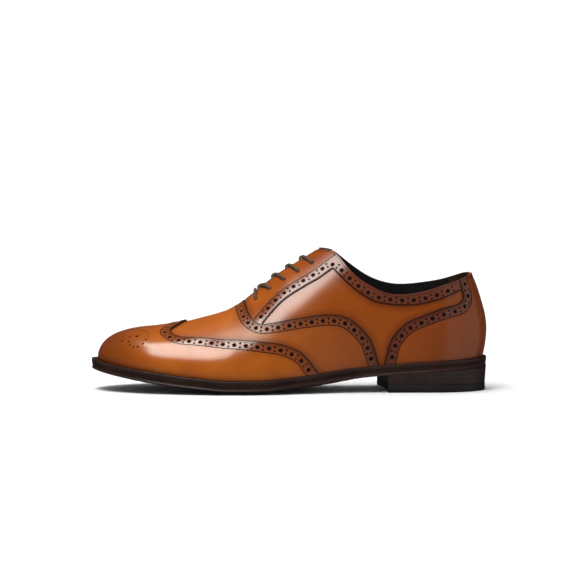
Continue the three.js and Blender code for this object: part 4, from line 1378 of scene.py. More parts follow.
def cord_parts(path, radius, sides=14):
    """A round cord along a path: the rings stand square to it, turned by the shoe's long axis,
    which the lace never follows. Both ends close in a small dome."""
    along = unit(np.gradient(path, axis=0))
    first = unit(np.cross(along, np.broadcast_to((1.0, 0.0, 0.0), along.shape)))
    second = np.cross(along, first)
    turn = np.arange(sides) * 2 * math.pi / sides
    spoke = first[:, None] * np.cos(turn)[:, None] + second[:, None] * np.sin(turn)[:, None]
    rings = path[:, None] + spoke * radius
    tips = np.stack([path[0] - along[0] * radius * 0.5, path[-1] + along[-1] * radius * 0.5])
    return capped(rings, tips)


lace_halves = []
lace_lengths = []
for side, shift in ((1.0, 1.25), (-1.0, -1.25)):
    table = lace_half(side, shift)
    path = through(off_last(table[:, :2], table[:, 2]), 8)
    lace_halves.append(cord_parts(path, LACE_RADIUS))
    lace_lengths.append(round(float(np.linalg.norm(np.diff(path, axis=0), axis=1).sum())))
lace = make_mesh("lace", *joined(lace_halves))
print("lace halves", lace_lengths, "mm")

# %% [markdown]
# ## Sole
# The outsole and the welt over it are cut to the shoe's plan and trimmed together. They could be
# drawn as a curve and extruded, but the sole also rises to heel and toe and its overhang is wider
# at the ball than in the waist. So both are closed lofts: their plan is the feather line moved
# outwards, and their height follows the last's bottom, which makes them meet the upper all round.

# %% Plan of the sole
SOLE_BEVEL = 0.9
WELT_SEAT = 8.0  # how far the welt reaches in under the upper


def overhang(walk):
    """How far the sole stands out from the feather line: least in the waist, most at the ball."""
    at = station_of(walk) / UPPER_LENGTH
    waist = mix(HEEL_OVERHANG, WAIST_OVERHANG, ramp(at, 0.2, 0.36))
    return mix(waist, BALL_OVERHANG, ramp(at, 0.42, 0.58))


def plan_edge(walk, side, out):
    """The feather line seen from above, moved outwards, square to its run."""
    step = 0.5
    here = on_last(walk, side * GIRTH)
    along = on_last(walk + step, side * GIRTH) - on_last(walk - step, side * GIRTH)
    outward = np.stack([-along[..., 1], along[..., 0], np.zeros(along.shape[:-1])], axis=-1)
    outward = unit(outward * np.asarray(side)[..., None])
    return here + outward * np.asarray(out)[..., None]


def outsole_top(x):
    """Height of the outsole's top: a welt and a gap below the welt's top."""
    return welt_top(x) - WELT_THICKNESS - GAP


def walking_face(x, across):
    """Height of the tread: flat in the middle of the forefoot, lifting to its edges and ends."""
    at = (x - BACK_X) / UPPER_LENGTH
    beside = ramp(np.abs(across), 0.5, 1)
    level = np.maximum(np.maximum(beside, 1 - ramp(at, 0.27, 0.42)), ramp(at, 0.84, 1))
    return welt_top(x) - BALL_TOP + EDGE_LIFT * level


def round_walks(count):
    """Walks and sides once round the plan: forward on the outer side, back on the inner."""
    turn = np.arange(2 * count) / count
    walk = WHOLE_WALK * np.where(turn <= 1, turn, 2 - turn)
    side = np.where(turn <= 1, 1.0, -1.0)
    return walk, side


def inward(walk, side, out, share):
    """From the shoe's middle line, share 0, out to the plan's edge, share 1."""
    edge = plan_edge(walk, side, out)
    other = plan_edge(walk, -side, out)
    return mix((edge + other) / 2, edge, share)


def folded(name, rings):
    """A body whose first and last rings lie doubled on the middle line: they are welded shut."""
    points = rings.reshape(-1, 3)
    kept, quads = welded(points, ring_quads(*rings.shape[:2])[2], 1e-4)
    quads, triangles = true_faces(quads)
    return make_mesh(name, points[kept], quads, triangles)


def at_height(points, height):
    """The same points seen from above, at another height."""
    raised = points.copy()
    raised[..., 2] = height
    return raised


def corner(radius, steps=5):
    """Quarter circle from (0, radius) to (radius, 0), as how far in and how far down."""
    turn = np.linspace(0, math.pi / 2, steps)
    return np.stack([radius * (1 - np.sin(turn)), radius * (1 - np.cos(turn))], axis=1)


loop_walk, loop_side = round_walks(240)
print("plan of", len(loop_walk), "points")

# %% Outsole
TREAD_SHARES = (0.0, 0.3, 0.5, 0.62, 0.72, 0.82, 0.9, 0.96)  # from the middle line to the edge


def outsole_rings():
    """Tread from the middle line out, a rounded lower corner, the wall, a small top corner and the
    hidden top face back to the middle."""
    out = overhang(loop_walk)
    rings = []
    for share in TREAD_SHARES:
        flat = inward(loop_walk, loop_side, out - SOLE_BEVEL, share)
        rings.append(at_height(flat, walking_face(flat[:, 0], share)))
    for inside, down in corner(SOLE_BEVEL)[::-1]:
        flat = plan_edge(loop_walk, loop_side, out - inside)
        rings.append(at_height(flat, walking_face(flat[:, 0], 1.0) + down))
    for inside, down in corner(0.15, 3):
        flat = plan_edge(loop_walk, loop_side, out - inside)
        rings.append(at_height(flat, outsole_top(flat[:, 0]) - down))
    for share in (0.8, 0.0):
        flat = inward(loop_walk, loop_side, out - 1, share)
        rings.append(at_height(flat, outsole_top(flat[:, 0])))
    return np.stack(rings)


outsole = folded("outsole_leather", outsole_rings())
print("outsole", len(outsole.data.polygons), "faces")

# %% Welt
SQUEEZE = 0.24  # the welt is stitched down hard on the outsole, so it closes most of their gap


def welt_rings():
    """Section of the welt: its lower face, outer wall, rounded upper corner, top and inner wall."""
    out = overhang(loop_walk) - 0.08
    section_points = [(-WELT_SEAT, -SQUEEZE), (-0.15, -SQUEEZE), (0.0, 0.15 - SQUEEZE)]
    section_points += [(-inside, WELT_THICKNESS - down) for inside, down in corner(0.6)[::-1]]
    section_points += [(-2.2, WELT_THICKNESS), (-WELT_SEAT, WELT_THICKNESS)]
    rings = []
    for outward, height in section_points:
        reach = np.full(len(out), outward) if outward == -WELT_SEAT else out + outward
        flat = plan_edge(loop_walk, loop_side, reach)
        rings.append(at_height(flat, outsole_top(flat[:, 0]) + GAP + height))
    return np.stack(rings)


def ring_body(name, rings):
    """A closed ring: its section is the list of rings, joined last to first."""
    at, nxt, _ = ring_quads(*rings.shape[:2])
    up = np.roll(at, -1, axis=0)
    quads = np.stack([at, nxt, np.roll(up, -1, axis=1), up], axis=-1).reshape(-1, 4)
    return make_mesh(name, rings.reshape(-1, 3), quads)


welt = ring_body("welt_strip", welt_rings())
print("welt", len(welt.data.polygons), "faces")

# %% [markdown]
# ## Seam of the welt
# A thick waxed thread sews the welt to the outsole, and its long stitches show from above. They
# could be a bump on the welt, but the panels' capsules are at hand: the same shape, larger, is laid
# along the plan's edge, a little way in, from the waist round the toe.

# %% Seam of the welt
WELT_STITCH = 3.1
WELT_THREAD = 0.34
WELT_SEAM_IN = 2.9  # mm from the welt's edge
WAIST_WALK = 118.0  # where the seam ends in the waist


def welt_seam():
    """Capsules on the welt's top, from the waist round the toe: the middles lie evenly along the
    plan's edge, moved in."""
    turn = np.linspace(-1, 1, 900) * (WHOLE_WALK - WAIST_WALK)
    walk = WHOLE_WALK - np.abs(turn)
    line = plan_edge(walk, np.where(turn < 0, 1.0, -1.0), overhang(walk) - WELT_SEAM_IN)
    line[:, 2] = outsole_top(line[:, 0]) + GAP + WELT_THICKNESS + 0.05
    run = np.concatenate([[0.0], np.cumsum(np.linalg.norm(np.diff(line, axis=0), axis=1))])
    middles = np.arange(WELT_STITCH / 2, run[-1], WELT_STITCH)
    place = np.stack([np.interp(middles, run, axis) for axis in line.T], axis=1)
    ahead = np.stack([np.interp(middles + 0.4, run, axis) for axis in line.T], axis=1)
    up = np.broadcast_to((0.0, 0.0, 1.0), place.shape)
    return capsules(place, ahead - place, up, WELT_STITCH, WELT_THREAD)


threads.append(seams("welt_thread", [welt_seam()]))

# %% [markdown]
# ## Heel
# The heel is three lifts of leather on a rubber top piece, pressed so tight that only a hair line
# shows between them. A plain block with painted lines would miss how those lines catch the light.
# So the wall is a stack of rings of the heel's plan, drawn in a little at each joint. The plan runs
# round the seat and across the breast, which is bowed.

# %% Heel
LIFT_THICKNESS = 6.0
HEEL_LENGTH_OUTER = 77.0
HEEL_LENGTH_INNER = 83.0
BREAST_BOW = 2.5
HEEL_TAPER = 0.8
LIFTS = 3
LIFT_WALL = (  # share of a lift's height, how far its wall is drawn in there
    (0.0, 0.09), (0.02, 0.03), (0.05, 0.0), (0.95, 0.0), (0.98, 0.03), (1.0, 0.09),
)
TOP_PIECE_WALL = (  # how far the wall is drawn in, height over the floor
    (0.7, 0.0), (0.25, 0.12), (0.0, 0.5), (0.0, 5.6), (0.12, 5.85), (0.5, LIFT_THICKNESS),
)
heel_walk = {
    1.0: float(walk_of(np.array(HEEL_LENGTH_OUTER - HEEL_OVERHANG))),
    -1.0: float(walk_of(np.array(HEEL_LENGTH_INNER - HEEL_OVERHANG))),
}
HEEL_OUT = HEEL_OVERHANG - 0.2


def heel_loop(out, count=60):
    """The heel's plan once round: along one side, across the bowed breast, back on the other."""
    share = np.linspace(0, 1, count, endpoint=False)
    outer = plan_edge(share * heel_walk[1.0], np.ones(count), np.full(count, out))
    across = np.linspace(1, -1, count // 2, endpoint=False)
    sides = np.array([-1.0, 1.0])
    walks = np.array([heel_walk[side] for side in sides])
    ends = plan_edge(walks, sides, np.full(2, out))
    breast = mix(ends[0], ends[1], (across[:, None] + 1) / 2)
    breast[:, 0] -= BREAST_BOW * (1 - across**2)
    back = np.linspace(1, 0, count, endpoint=False)
    inner = plan_edge(back * heel_walk[-1.0], -np.ones(count), np.full(count, out))
    return np.concatenate([outer, breast, inner])


def heel_stack_rings():
    """Lifts of leather: the wall runs down from the sole with a fine groove between lifts."""
    top = heel_loop(HEEL_OUT)
    top_height = walking_face(top[:, 0], 1.0) - 0.05
    floor_height = LIFT_THICKNESS + 0.1
    rings = []
    for lift in range(LIFTS):
        for share, groove in LIFT_WALL[1 if lift else 0 :]:
            level = (lift + share) / LIFTS
            out = HEEL_OUT - HEEL_TAPER * (1 - level) - groove
            rings.append(at_height(heel_loop(out), mix(floor_height, top_height, level)))
    return np.stack(rings)


def top_piece_rings():
    """The same plan at the heights of the top piece's wall."""
    out = HEEL_OUT - HEEL_TAPER
    return np.stack([at_height(heel_loop(out - inside), z) for inside, z in TOP_PIECE_WALL])


def lofted(name, rings):
    """A closed body from rings (ring, point, xyz), with a fan over each end."""
    return make_mesh(name, *capped(rings, rings[[0, -1]].mean(1)))


heel_stack = lofted("heel_lifts", heel_stack_rings())
top_piece = lofted("heel_rubber", top_piece_rings())
print("heel", len(heel_stack.data.polygons), "faces")

# %% [markdown]
# ## Sock
# Looking in at the collar one sees the sock, the thin black leather over the insole. A flat sheet
# would do from above, but its edge would show as a line. It is a low cushion with rounded edges
# that fills the space between the linings, made from the same plan as the sole.

# %% Sock
INSOLE_THICKNESS = 2.4
SOCK_SECTION = (  # share of the way from the middle line to the edge, height
    (0.0, 0.0), (0.9, 0.0), (1.0, 0.3), (1.0, 1.9), (0.97, 2.25), (0.9, INSOLE_THICKNESS),
    (0.5, INSOLE_THICKNESS), (0.0, INSOLE_THICKNESS),
)


def sock_rings():
    """Rings of the plan, drawn in by the wall, at the shares and heights of the section."""
    inset = -(WALL + 3 * GAP)
    rings = []
    for share, height in SOCK_SECTION:
        flat = inward(loop_walk, loop_side, np.full(len(loop_walk), inset), share)
        rings.append(at_height(flat, welt_top(flat[:, 0]) + GAP + height))
    return np.stack(rings)


sock = folded("sock_lining", sock_rings())
print("sock", len(sock.data.polygons), "faces")

# %% [markdown]
# ## Tongue
# The tongue lies under the facings and fills the slit. Only a stripe of it and its top edge show.
# It could be a bent strip of its own, but a strip on the last's chart is sure to clear the laces
# and the lining: only its height changes, low under the facings and raised where it comes out.

# %% Tongue
TONGUE_EDGE = ((0.0, 0.404), (0.12, 0.402), (0.26, 0.394), (0.36, 0.386))  # round, at
TONGUE_CREST = (  # at, height over the floor of its top end, which stands just over the facings
    (0.36, 98.0), (0.388, 104.0), (0.4, 106.6), (0.414, 108.8), (0.43, 109.0), (0.45, 107.0),
)
TONGUE_SIDE = ((0.392, 0.36), (0.42, 0.4), (0.52, 0.38), (0.6, 0.34), (0.65, 0.3))  # at, round
TONGUE_THICK = 1.6
TONGUE_BOUND = -24.5  # x in mm behind which the tongue is bound in the lining's black leather


def tongue_grid(rows=60, columns=41):
    """Across by v, from edge to edge, and forward by u, from the curved top edge to the throat."""
    u = np.linspace(0, 1, rows)[:, None]
    v = np.linspace(-1, 1, columns)[None]
    (rear_end, rear_half), *_, (front_end, _) = TONGUE_SIDE
    half = spline(TONGUE_SIDE, 1)(mix(rear_end, front_end, u))
    rear = spline(TONGUE_EDGE, 1)(np.abs(v) * rear_half)
    at = mix(rear, front_end, u)
    return np.stack([walk_of(at * UPPER_LENGTH), v * half * GIRTH], axis=-1)


def tongue_top(chart, place):
    """Lower where the laces pass between it and the facings, and raised where it comes out behind
    them, in the open part of the collar."""
    at = station_of(chart[:, 0]) / UPPER_LENGTH
    low = mix(-2.4, -4.4, ramp(at, 0.42, 0.44))
    free = open_girth(chart[:, 0], 1) - np.abs(chart[:, 1])
    out = ramp(free, 0.0, 6.0) * (1 - ramp(at, 0.425, 0.437))
    lean = np.maximum(normal_on(*chart.T)[:, 2], 0.3)
    crest = np.minimum(0.9, (spline(TONGUE_CREST, 1)(at) - place[:, 2]) / lean)
    return mix(low, crest, out)


def tongue_base(chart, place):
    """The underside, the tongue's thickness below the top."""
    return tongue_top(chart, place) - TONGUE_THICK


tongue = skin("tongue_leather", [tongue_grid()], tongue_top, tongue_base)
print("tongue", len(tongue.data.polygons), "faces")

# %% [markdown]
# ## What each piece stands for
# The construction model has plain solids for all these pieces. A table lists each finished piece
# with the solids that it stands for and the name of a finish slot. Each piece is attached to the
# body it moves with, and the solids it stands for are hidden. A shoe has one body, so everything
# rides on the root, and thread, lining and backing stand for no solid at all.

# %% Riding
dressing = (
    (quarters, "quarter_leather", ("upper",)),
    (lining, "sock_leather", ()),
    (vamp, "vamp_leather", ("vamp",)),
    (wing, "burnished_leather", ("wing_cap",)),
    (counter, "counter_leather", ("counter",)),
    (facings[0], "facing_leather", ("facing_outer",)),
    (facings[1], "facing_leather", ("facing_inner",)),
    (outsole, "sole_leather", ("outsole",)),
    (welt, "welt_leather", ("welt",)),
    (heel_stack, "heel_leather", ("heel_stack",)),
    (top_piece, "heel_rubber", ("heel_top_piece",)),
    (sock, "sock_leather", ("insole",)),
    (tongue, "tongue_leather", ("tongue",)),
    (lace, "lace_cotton", (
        "lace_bar", "lace_crossing_1", "lace_crossing_2", "lace_crossing_3", "lace_crossing_4",
    )),
    *[(piece, "burnished_leather", ()) for piece in backings],
    *[(piece, "lace_cotton", ()) for piece in threads],
)
for piece, slot, nodes in dressing:
    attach(piece, "root")
    if nodes:
        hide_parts(*nodes)
print("pieces", len(dressing))

# %% [markdown]
# ## Leather, first the masks
# A shoemaker darkens the leather by hand: round every edge, along the punched bands, at the toe and
# at the heel. Here the same darkening also paints shade: the shadow of the cut edges, the shade
# beside the seams and round the toe. It could be a painted image, but the material can work it out
# if it knows how far a point lies from an edge. Three distances are measured here and kept on the
# meshes as attributes, in millimetres: inset to the panel's own edge, band to the line that its
# band follows, and seam to the edges of the panels that lie on it.

# %% Distances to the edges
def write_distance(piece, name, lines, far=40.0):
    """Keeps each point's distance to the nearest of the lines as an attribute in millimetres."""
    near = nearest_of(read(piece.data.vertices, "co", 3) / MM, [line[::2] for line in lines], far)
    layer = piece.data.attributes.new(name, "FLOAT", "POINT")
    layer.data.foreach_set("value", near.astype(np.float32))


stays = [line for side in (1, -1) for line in facing_lines[side][::2]]
marks = [  # piece, its top's height, lines of inset, band and seam
    (wing, WING_TOP, [wing_edge], [wing_edge], []),
    (vamp, VAMP_TOP, [vamp_edge], [vamp_edge], [wing_edge]),
    (counter, COUNTER_TOP, ears, ears, []),
    (quarters, 0.0, [], [], [vamp_edge, *ears, *stays]),
    (tongue, 0.0, [], [], []),
]
for piece, side in zip(facings, (1, -1)):
    low, high, strip, edge = facing_lines[side]
    band = [past_corner(low), strip, edge[7:]]  # with the topline from just behind the corner
    marks.append((piece, FACING_TOP, [low, strip], band, [vamp_edge]))
for piece, height, *groups in marks:
    for name, lines in zip(("inset", "band", "seam"), groups):
        write_distance(piece, name, [on_top(line, height) for line in lines])
print("distances written")

# %% [markdown]
# ## Shader helpers
# A material is a small graph. It can be drawn by hand in the shader editor or written as nodes and
# links. These helpers add one node and fill its inputs, with a number or with another node's
# output, so that each material below reads as a short list of steps.

# %% Nodes
def fill(tree, node, inputs):
    """Sets a node's inputs: a socket is linked, anything else is the input's own value."""
    for key, value in inputs.items():
        if isinstance(value, bpy.types.NodeSocket):
            tree.links.new(value, node.inputs[key])
        else:
            node.inputs[key].default_value = value
    return node


def add(tree, kind, inputs=None, **settings):
    """A new node with its settings and inputs."""
    node = tree.nodes.new(kind)
    for name, value in settings.items():
        setattr(node, name, value)
    return fill(tree, node, inputs or {})


def calc(tree, operation, first, second=0.0):
    """Two values added, multiplied or compared."""
    return add(tree, "ShaderNodeMath", {0: first, 1: second}, operation=operation).outputs[0]


def limited(tree, value):
    """The value held between 0 and 1."""
    return add(tree, "ShaderNodeClamp", {"Value": value}).outputs[0]


def span(tree, value, low, high, start=0.0, end=1.0, soft=True):
    """The value mapped from low..high to start..end, with soft ends."""
    kind = "SMOOTHSTEP" if soft else "LINEAR"
    inputs = {"Value": value, "From Min": low, "From Max": high, "To Min": start, "To Max": end}
    return add(tree, "ShaderNodeMapRange", inputs, interpolation_type=kind).outputs[0]


def blend(tree, share, first, second):
    """Two colours mixed by a share."""
    inputs = {0: share, 6: first, 7: second}
    return add(tree, "ShaderNodeMix", inputs, data_type="RGBA").outputs[2]


def noise(tree, place, scale, detail=3.0, rough=0.5):
    """Soft random values about 0.5, with so many patches a metre."""
    inputs = {"Vector": place, "Scale": scale, "Detail": detail, "Roughness": rough}
    return add(tree, "ShaderNodeTexNoise", inputs).outputs["Fac"]


def group(name, inputs, outputs):
    """A new node group with named sockets. Returns its tree, its input node and its output node."""
    tree = bpy.data.node_groups.new(name, "ShaderNodeTree")
    for side, sockets in (("INPUT", inputs), ("OUTPUT", outputs)):
        for socket, kind in sockets.items():
            tree.interface.new_socket(socket, in_out=side, socket_type="NodeSocket" + kind)
    return tree, tree.nodes.new("NodeGroupInput"), tree.nodes.new("NodeGroupOutput")


def use(tree, shared, inputs):
    """A shared group placed in a material, with its own inputs."""
    return fill(tree, add(tree, "ShaderNodeGroup", node_tree=shared), inputs)


# %% [markdown]
# ## Grain
# Polished calf has tight pores and a faint net of creases, which only a close look shows. At arm's
# length one sees how the leather swells a little between its stitches and waves from the hand. A
# scanned image would have seams where it repeats. Here all are one height, two Voronoi fields and
# three noises on the piece's own coordinates, so it has none. The fine ones have small weights,
# because calf mirrors the light in long smooth bands.

# %% Group: calf grain
grain, start_node, end_node = group(
    "calf_grain", {"Place": "Vector", "Strength": "Float"}, {"Height": "Float"}
)
place = start_node.outputs["Place"]
pores = add(grain, "ShaderNodeTexVoronoi", {"Vector": place, "Scale": 1500.0}).outputs["Distance"]
net = add(
    grain, "ShaderNodeTexVoronoi", {"Vector": place, "Scale": 620.0}, feature="DISTANCE_TO_EDGE"
).outputs["Distance"]
net = span(grain, net, 0.0, 0.12)
fine = noise(grain, place, 900.0, 2.0)
swell = noise(grain, place, 170.0, 2.0)
waves = noise(grain, place, 55.0, 2.0)
total = calc(grain, "MULTIPLY", pores, 0.05)
total = calc(grain, "ADD", total, calc(grain, "MULTIPLY", net, 0.035))
total = calc(grain, "ADD", total, calc(grain, "MULTIPLY", fine, 0.04))
total = calc(grain, "MULTIPLY", total, start_node.outputs["Strength"])
total = calc(grain, "ADD", total, swell)
total = calc(grain, "ADD", total, calc(grain, "MULTIPLY", waves, 8.0))
grain.links.new(total, end_node.inputs["Height"])
print("group", grain.name, "of", len(grain.nodes), "nodes")

# %% [markdown]
# ## Burnish
# The colour is a tan ground, cloudy from the brush and browner towards the heel. Dark polish lies
# over it along the punched bands, and a softer brown at toe and heel, where the toe's is set deep
# enough to also paint the shade round its outline. Beside the seams the same brown is painted
# shade, where the overlays lie on the panel. The cut edges are inked nearly black, which is their
# dye and also their painted shadow, and the line of the inner stitches is painted dark as the shade
# of their groove. One picture for each panel would give the same, but every panel would need its
# own, while this group takes the three distances and a few amounts, and serves them all. It gives
# the colour and two masks for the gloss.

# %% Group: burnish
AMBER = (0.42, 0.115, 0.008, 1)
RUSSET = (0.17, 0.029, 0.001, 1)
# Brown of the hand burnish at toe and heel, also used as painted shade beside the seams and round
# the toe.
BURNISH_AND_SHADE_BROWN = (0.09, 0.014, 0.0025, 1)
# Near black: the dye of the cut edges, and also their painted shadow and the painted shade of the
# stitch groove.
INK_AND_EDGE_SHADE = (0.018, 0.006, 0.004, 1)

burnish, start_node, end_node = group(
    "hand_burnish",
    {"Place": "Vector", "Ground": "Color", "Polish": "Color", "Inset": "Float", "Across": "Float",
     "Seam": "Float", "Band": "Float", "Toe": "Float", "Heel": "Float"},
    {"Color": "Color", "Polished": "Float", "Ink and shade": "Float"},
)
place, ground, polish, inset, across, seam, band, toe, heel = start_node.outputs[:9]
cloud = noise(burnish, place, 38.0, 4.0, 0.55)
patch = noise(burnish, place, 14.0, 2.0)
flecks = noise(burnish, place, 420.0, 3.0, 0.6)
x = add(burnish, "ShaderNodeSeparateXYZ", {"Vector": place}).outputs["X"]
uneven = calc(burnish, "MULTIPLY", calc(burnish, "SUBTRACT", cloud, 0.5), 0.03)
x_uneven = calc(burnish, "ADD", x, uneven)
print("group", burnish.name, "has its fields")

# %% Burnish: the masks
# The toe's darkening is burnish, set deep enough that it also paints the shade round the toe's
# outline.
toe_burnish_and_shade = calc(burnish, "MULTIPLY", span(burnish, x_uneven, 0.085, 0.148), toe)
heel_mask = calc(burnish, "MULTIPLY", span(burnish, x_uneven, -0.07, -0.135), heel)
inside_band = span(burnish, across, 8.2, 9.0, 1.0, 0.0)
band_mask = calc(burnish, "MULTIPLY", inside_band, band)
band_mask = calc(burnish, "MULTIPLY", band_mask, span(burnish, x, -0.02, -0.08, 0.6, 1.0))
beyond = span(burnish, across, 7.0, 15.0, 0.2, 0.0)
# Darker up to 7 mm beside the edges of panels lying on this one: painted shade where the overlays
# meet it.
beside = span(burnish, seam, 0.0, 7.0, 0.45, 0.0)
band_fade_and_seam_shade = calc(burnish, "MAXIMUM", beyond, beside)
burnish_and_shade_mask = calc(burnish, "MAXIMUM", calc(burnish, "MAXIMUM", toe_burnish_and_shade, heel_mask), band_fade_and_seam_shade)
patchy = calc(burnish, "MULTIPLY", calc(burnish, "SUBTRACT", patch, 0.5), 0.3)
burnish_and_shade_mask = limited(burnish, calc(burnish, "ADD", burnish_and_shade_mask, patchy))
from_line = calc(burnish, "ABSOLUTE", calc(burnish, "SUBTRACT", across, BAND_SEAM))
# A dark line along the inner stitch row is painted shade of its groove; the dark cut edges are dye
# and painted edge shadow.
groove_shade_line = span(burnish, from_line, 0.15, 0.5, 1.0, 0.0)
edge_dye_and_shadow = span(burnish, inset, 0.55, 1.25, 1.0, 0.0)
inked_and_shaded = calc(burnish, "MULTIPLY", calc(burnish, "MAXIMUM", groove_shade_line, edge_dye_and_shadow), band)
inked_and_shaded = limited(burnish, calc(burnish, "MULTIPLY", inked_and_shaded, 1.3))
print("group", burnish.name, "has its masks")

# %% Burnish: the colour and the gloss
color = blend(burnish, span(burnish, cloud, 0.3, 0.75, 0.0, 0.5), ground, AMBER)
color = blend(burnish, span(burnish, x_uneven, 0.05, -0.04, 0.0, 0.65), color, RUSSET)
color = blend(burnish, burnish_and_shade_mask, color, BURNISH_AND_SHADE_BROWN)
color = blend(burnish, band_mask, color, polish)
color = blend(burnish, span(burnish, flecks, 0.55, 0.8, 0.0, 0.06), color, polish)
color = blend(burnish, inked_and_shaded, color, INK_AND_EDGE_SHADE)
shine = span(burnish, cloud, 0.25, 0.8, 0.0, 0.5)
shine = calc(burnish, "ADD", shine, calc(burnish, "MULTIPLY", inside_band, 0.5))
shine = calc(burnish, "SUBTRACT", shine, span(burnish, flecks, 0.45, 0.7, 0.0, 0.15))
burnish.links.new(color, end_node.inputs["Color"])
burnish.links.new(shine, end_node.inputs["Polished"])
burnish.links.new(inked_and_shaded, end_node.inputs["Ink and shade"])
print("group", burnish.name, "of", len(burnish.nodes), "nodes")

# %% [markdown]
# ## Leather
# Each panel's calf is the same material with other amounts. Wax polish is a thin clear layer. It
# could be mixed in as a second shader, but the shader's own coat does the same with two inputs.
# The gloss under it is a little warm, and where the ink and the painted edge and groove shade lie,
# the mask takes coat and gloss away.

# %% Leather materials
TAN = (0.3, 0.066, 0.003, 1)
CHESTNUT = (0.088, 0.026, 0.015, 1)
WARM = (1.0, 0.97, 0.88, 1)
MOTTLE = 0.25  # how much a plain finish's colour varies


def new_material(name):
    """A material, its graph and the socket that gives the place on the piece."""
    material = bpy.data.materials.new(name)
    material.use_nodes = True
    tree = material.node_tree
    return material, tree, add(tree, "ShaderNodeTexCoord").outputs["Object"]


def leather(name, ground=TAN, band=0.85, toe=0.0, heel=0.0, rough=0.2, coat=0.25):
    """Calf with its ground colour, how much it is darkened, its roughness and its coat of wax."""
    material, tree, place = new_material(name)
    inset, across, seam = (
        add(tree, "ShaderNodeAttribute", attribute_name=mark).outputs["Fac"]
        for mark in ("inset", "band", "seam")
    )
    painted = use(tree, burnish, {
        "Place": place, "Ground": ground, "Polish": CHESTNUT, "Inset": inset, "Across": across,
        "Seam": seam, "Band": band, "Toe": toe, "Heel": heel,
    }).outputs
    height = use(tree, grain, {"Place": place, "Strength": 1.0}).outputs["Height"]
    bump = add(tree, "ShaderNodeBump", {"Strength": 0.14, "Distance": 0.00012, "Height": height})
    polished = span(tree, painted["Polished"], 0.0, 1.0, rough + 0.05, rough - 0.04, False)
    fill(tree, tree.nodes["Principled BSDF"], {
        "Base Color": painted["Color"],
        "Roughness": polished,
        "Normal": bump.outputs["Normal"],
        "Specular Tint": WARM,
        "Specular IOR Level": span(tree, painted["Ink and shade"], 0.0, 1.0, 0.5, 0.1, False),
        "Coat Weight": span(tree, painted["Ink and shade"], 0.0, 1.0, coat, 0.0, False),
        "Coat Roughness": 0.2,
    })
    return material


def plain(name, color, rough, gloss=0.3):
    """A simple finish: a colour mottled by noise, with the same noise as a fine bump."""
    material, tree, place = new_material(name)
    grit = noise(tree, place, 600.0)
    slow = noise(tree, place, 45.0)
    dark = (*(value * (1 - MOTTLE) for value in color), 1)
    light = (*(value * (1 + MOTTLE) for value in color), 1)
    mottled = blend(tree, span(tree, slow, 0.3, 0.7), dark, light)
    mottled = blend(tree, span(tree, grit, 0.3, 0.75, 0.0, 0.35), mottled, dark)
    bump = add(tree, "ShaderNodeBump", {"Strength": 0.4, "Distance": 0.0001, "Height": grit})
    fill(tree, tree.nodes["Principled BSDF"], {
        "Base Color": mottled,
        "Roughness": span(tree, grit, 0.2, 0.8, rough - 0.05, rough + 0.06),
        "Normal": bump.outputs["Normal"],
        "Specular IOR Level": gloss,
    })
    return material


finishes = {
    "quarters": leather("quarter_calf", band=0.0, heel=0.35),
    "vamp": leather("vamp_calf", rough=0.32, coat=0.0),
    # toe=0.72: burnish at the toe, deep enough to also paint the shade round its outline.
    "wing": leather("wing_calf", toe=0.72),
    "counter": leather("counter_calf", heel=0.45),
    "facing": leather("facing_calf", heel=0.3, ground=(0.26, 0.052, 0.0025, 1)),
    "tongue": leather("tongue_calf", band=0.0),
    "lining": plain("black_lining", (0.014, 0.013, 0.013), 0.36, 0.5),
    "sock": plain("black_sock", (0.014, 0.012, 0.012), 0.5),
    "tab": plain("brown_heel_tab", (0.045, 0.022, 0.014), 0.45),
    "edge": plain("edge_dressing", (0.026, 0.0105, 0.007), 0.42),
    "lifts": plain("lift_dressing", (0.026, 0.015, 0.013), 0.4),
    "rubber": plain("heel_rubber", (0.014, 0.011, 0.011), 0.55),
    # Nearly black: the backing leather's colour, which also paints the deep shade inside the holes.
    "backing_and_hole_shade": plain("backing_leather_hole_shade", (0.013, 0.005, 0.004), 0.7, 0.08),
    "thread": plain("waxed_thread", (0.016, 0.006, 0.004), 0.6, 0.12),
    "lace": plain("lace_cotton", (0.075, 0.048, 0.034), 0.65),
}
print("finishes", len(finishes))

# %% [markdown]
# ## Who wears what
# Most pieces have one finish. Two have a second one on some faces: the tongue's rear end and
# underside are bound in the black lining leather, and a brown tab covers the lining's top at the
# heel, where a foot slides in. They could be pieces of their own, but they lie flush, so a
# material slot chosen by each face's place is enough.

# %% Finishes on the pieces
TAB_WALK = 38.0  # how far the brown tab inside the heel reaches forward, as a walk
TAB_GIRTH = float(topline(np.array([TAB_WALK]))[0, 1]) + 3.0

worn = [
    (quarters, "quarters"), (lining, "lining"), (vamp, "vamp"), (wing, "wing"),
    (counter, "counter"), (facings[0], "facing"), (facings[1], "facing"), (outsole, "edge"),
    (welt, "edge"), (heel_stack, "lifts"), (top_piece, "rubber"), (sock, "sock"),
    (tongue, "tongue"), (lace, "lace"),
]
worn += [(piece, "backing_and_hole_shade") for piece in backings]
worn += [(piece, "thread") for piece in threads]
for piece, name in worn:
    piece.data.materials.clear()
    piece.data.materials.append(finishes[name])
tongue.data.materials.append(finishes["lining"])
bound = read(tongue.data.polygons, "center", 3)[:, 0] < TONGUE_BOUND * MM
bound |= read(tongue.data.polygons, "normal", 3)[:, 2] < 0
tongue.data.polygons.foreach_set("material_index", bound.astype(np.int32))
lining.data.materials.append(finishes["tab"])
corner_chart = read(lining.data.uv_layers["chart"].uv, "vector", 2)
first_chart = corner_chart[read(lining.data.polygons, "loop_start", 1, np.int64)]
at_heel = (np.abs(first_chart[:, 0]) < TAB_WALK) & (first_chart[:, 1] < TAB_GIRTH)
lining.data.polygons.foreach_set("material_index", at_heel.astype(np.int32))
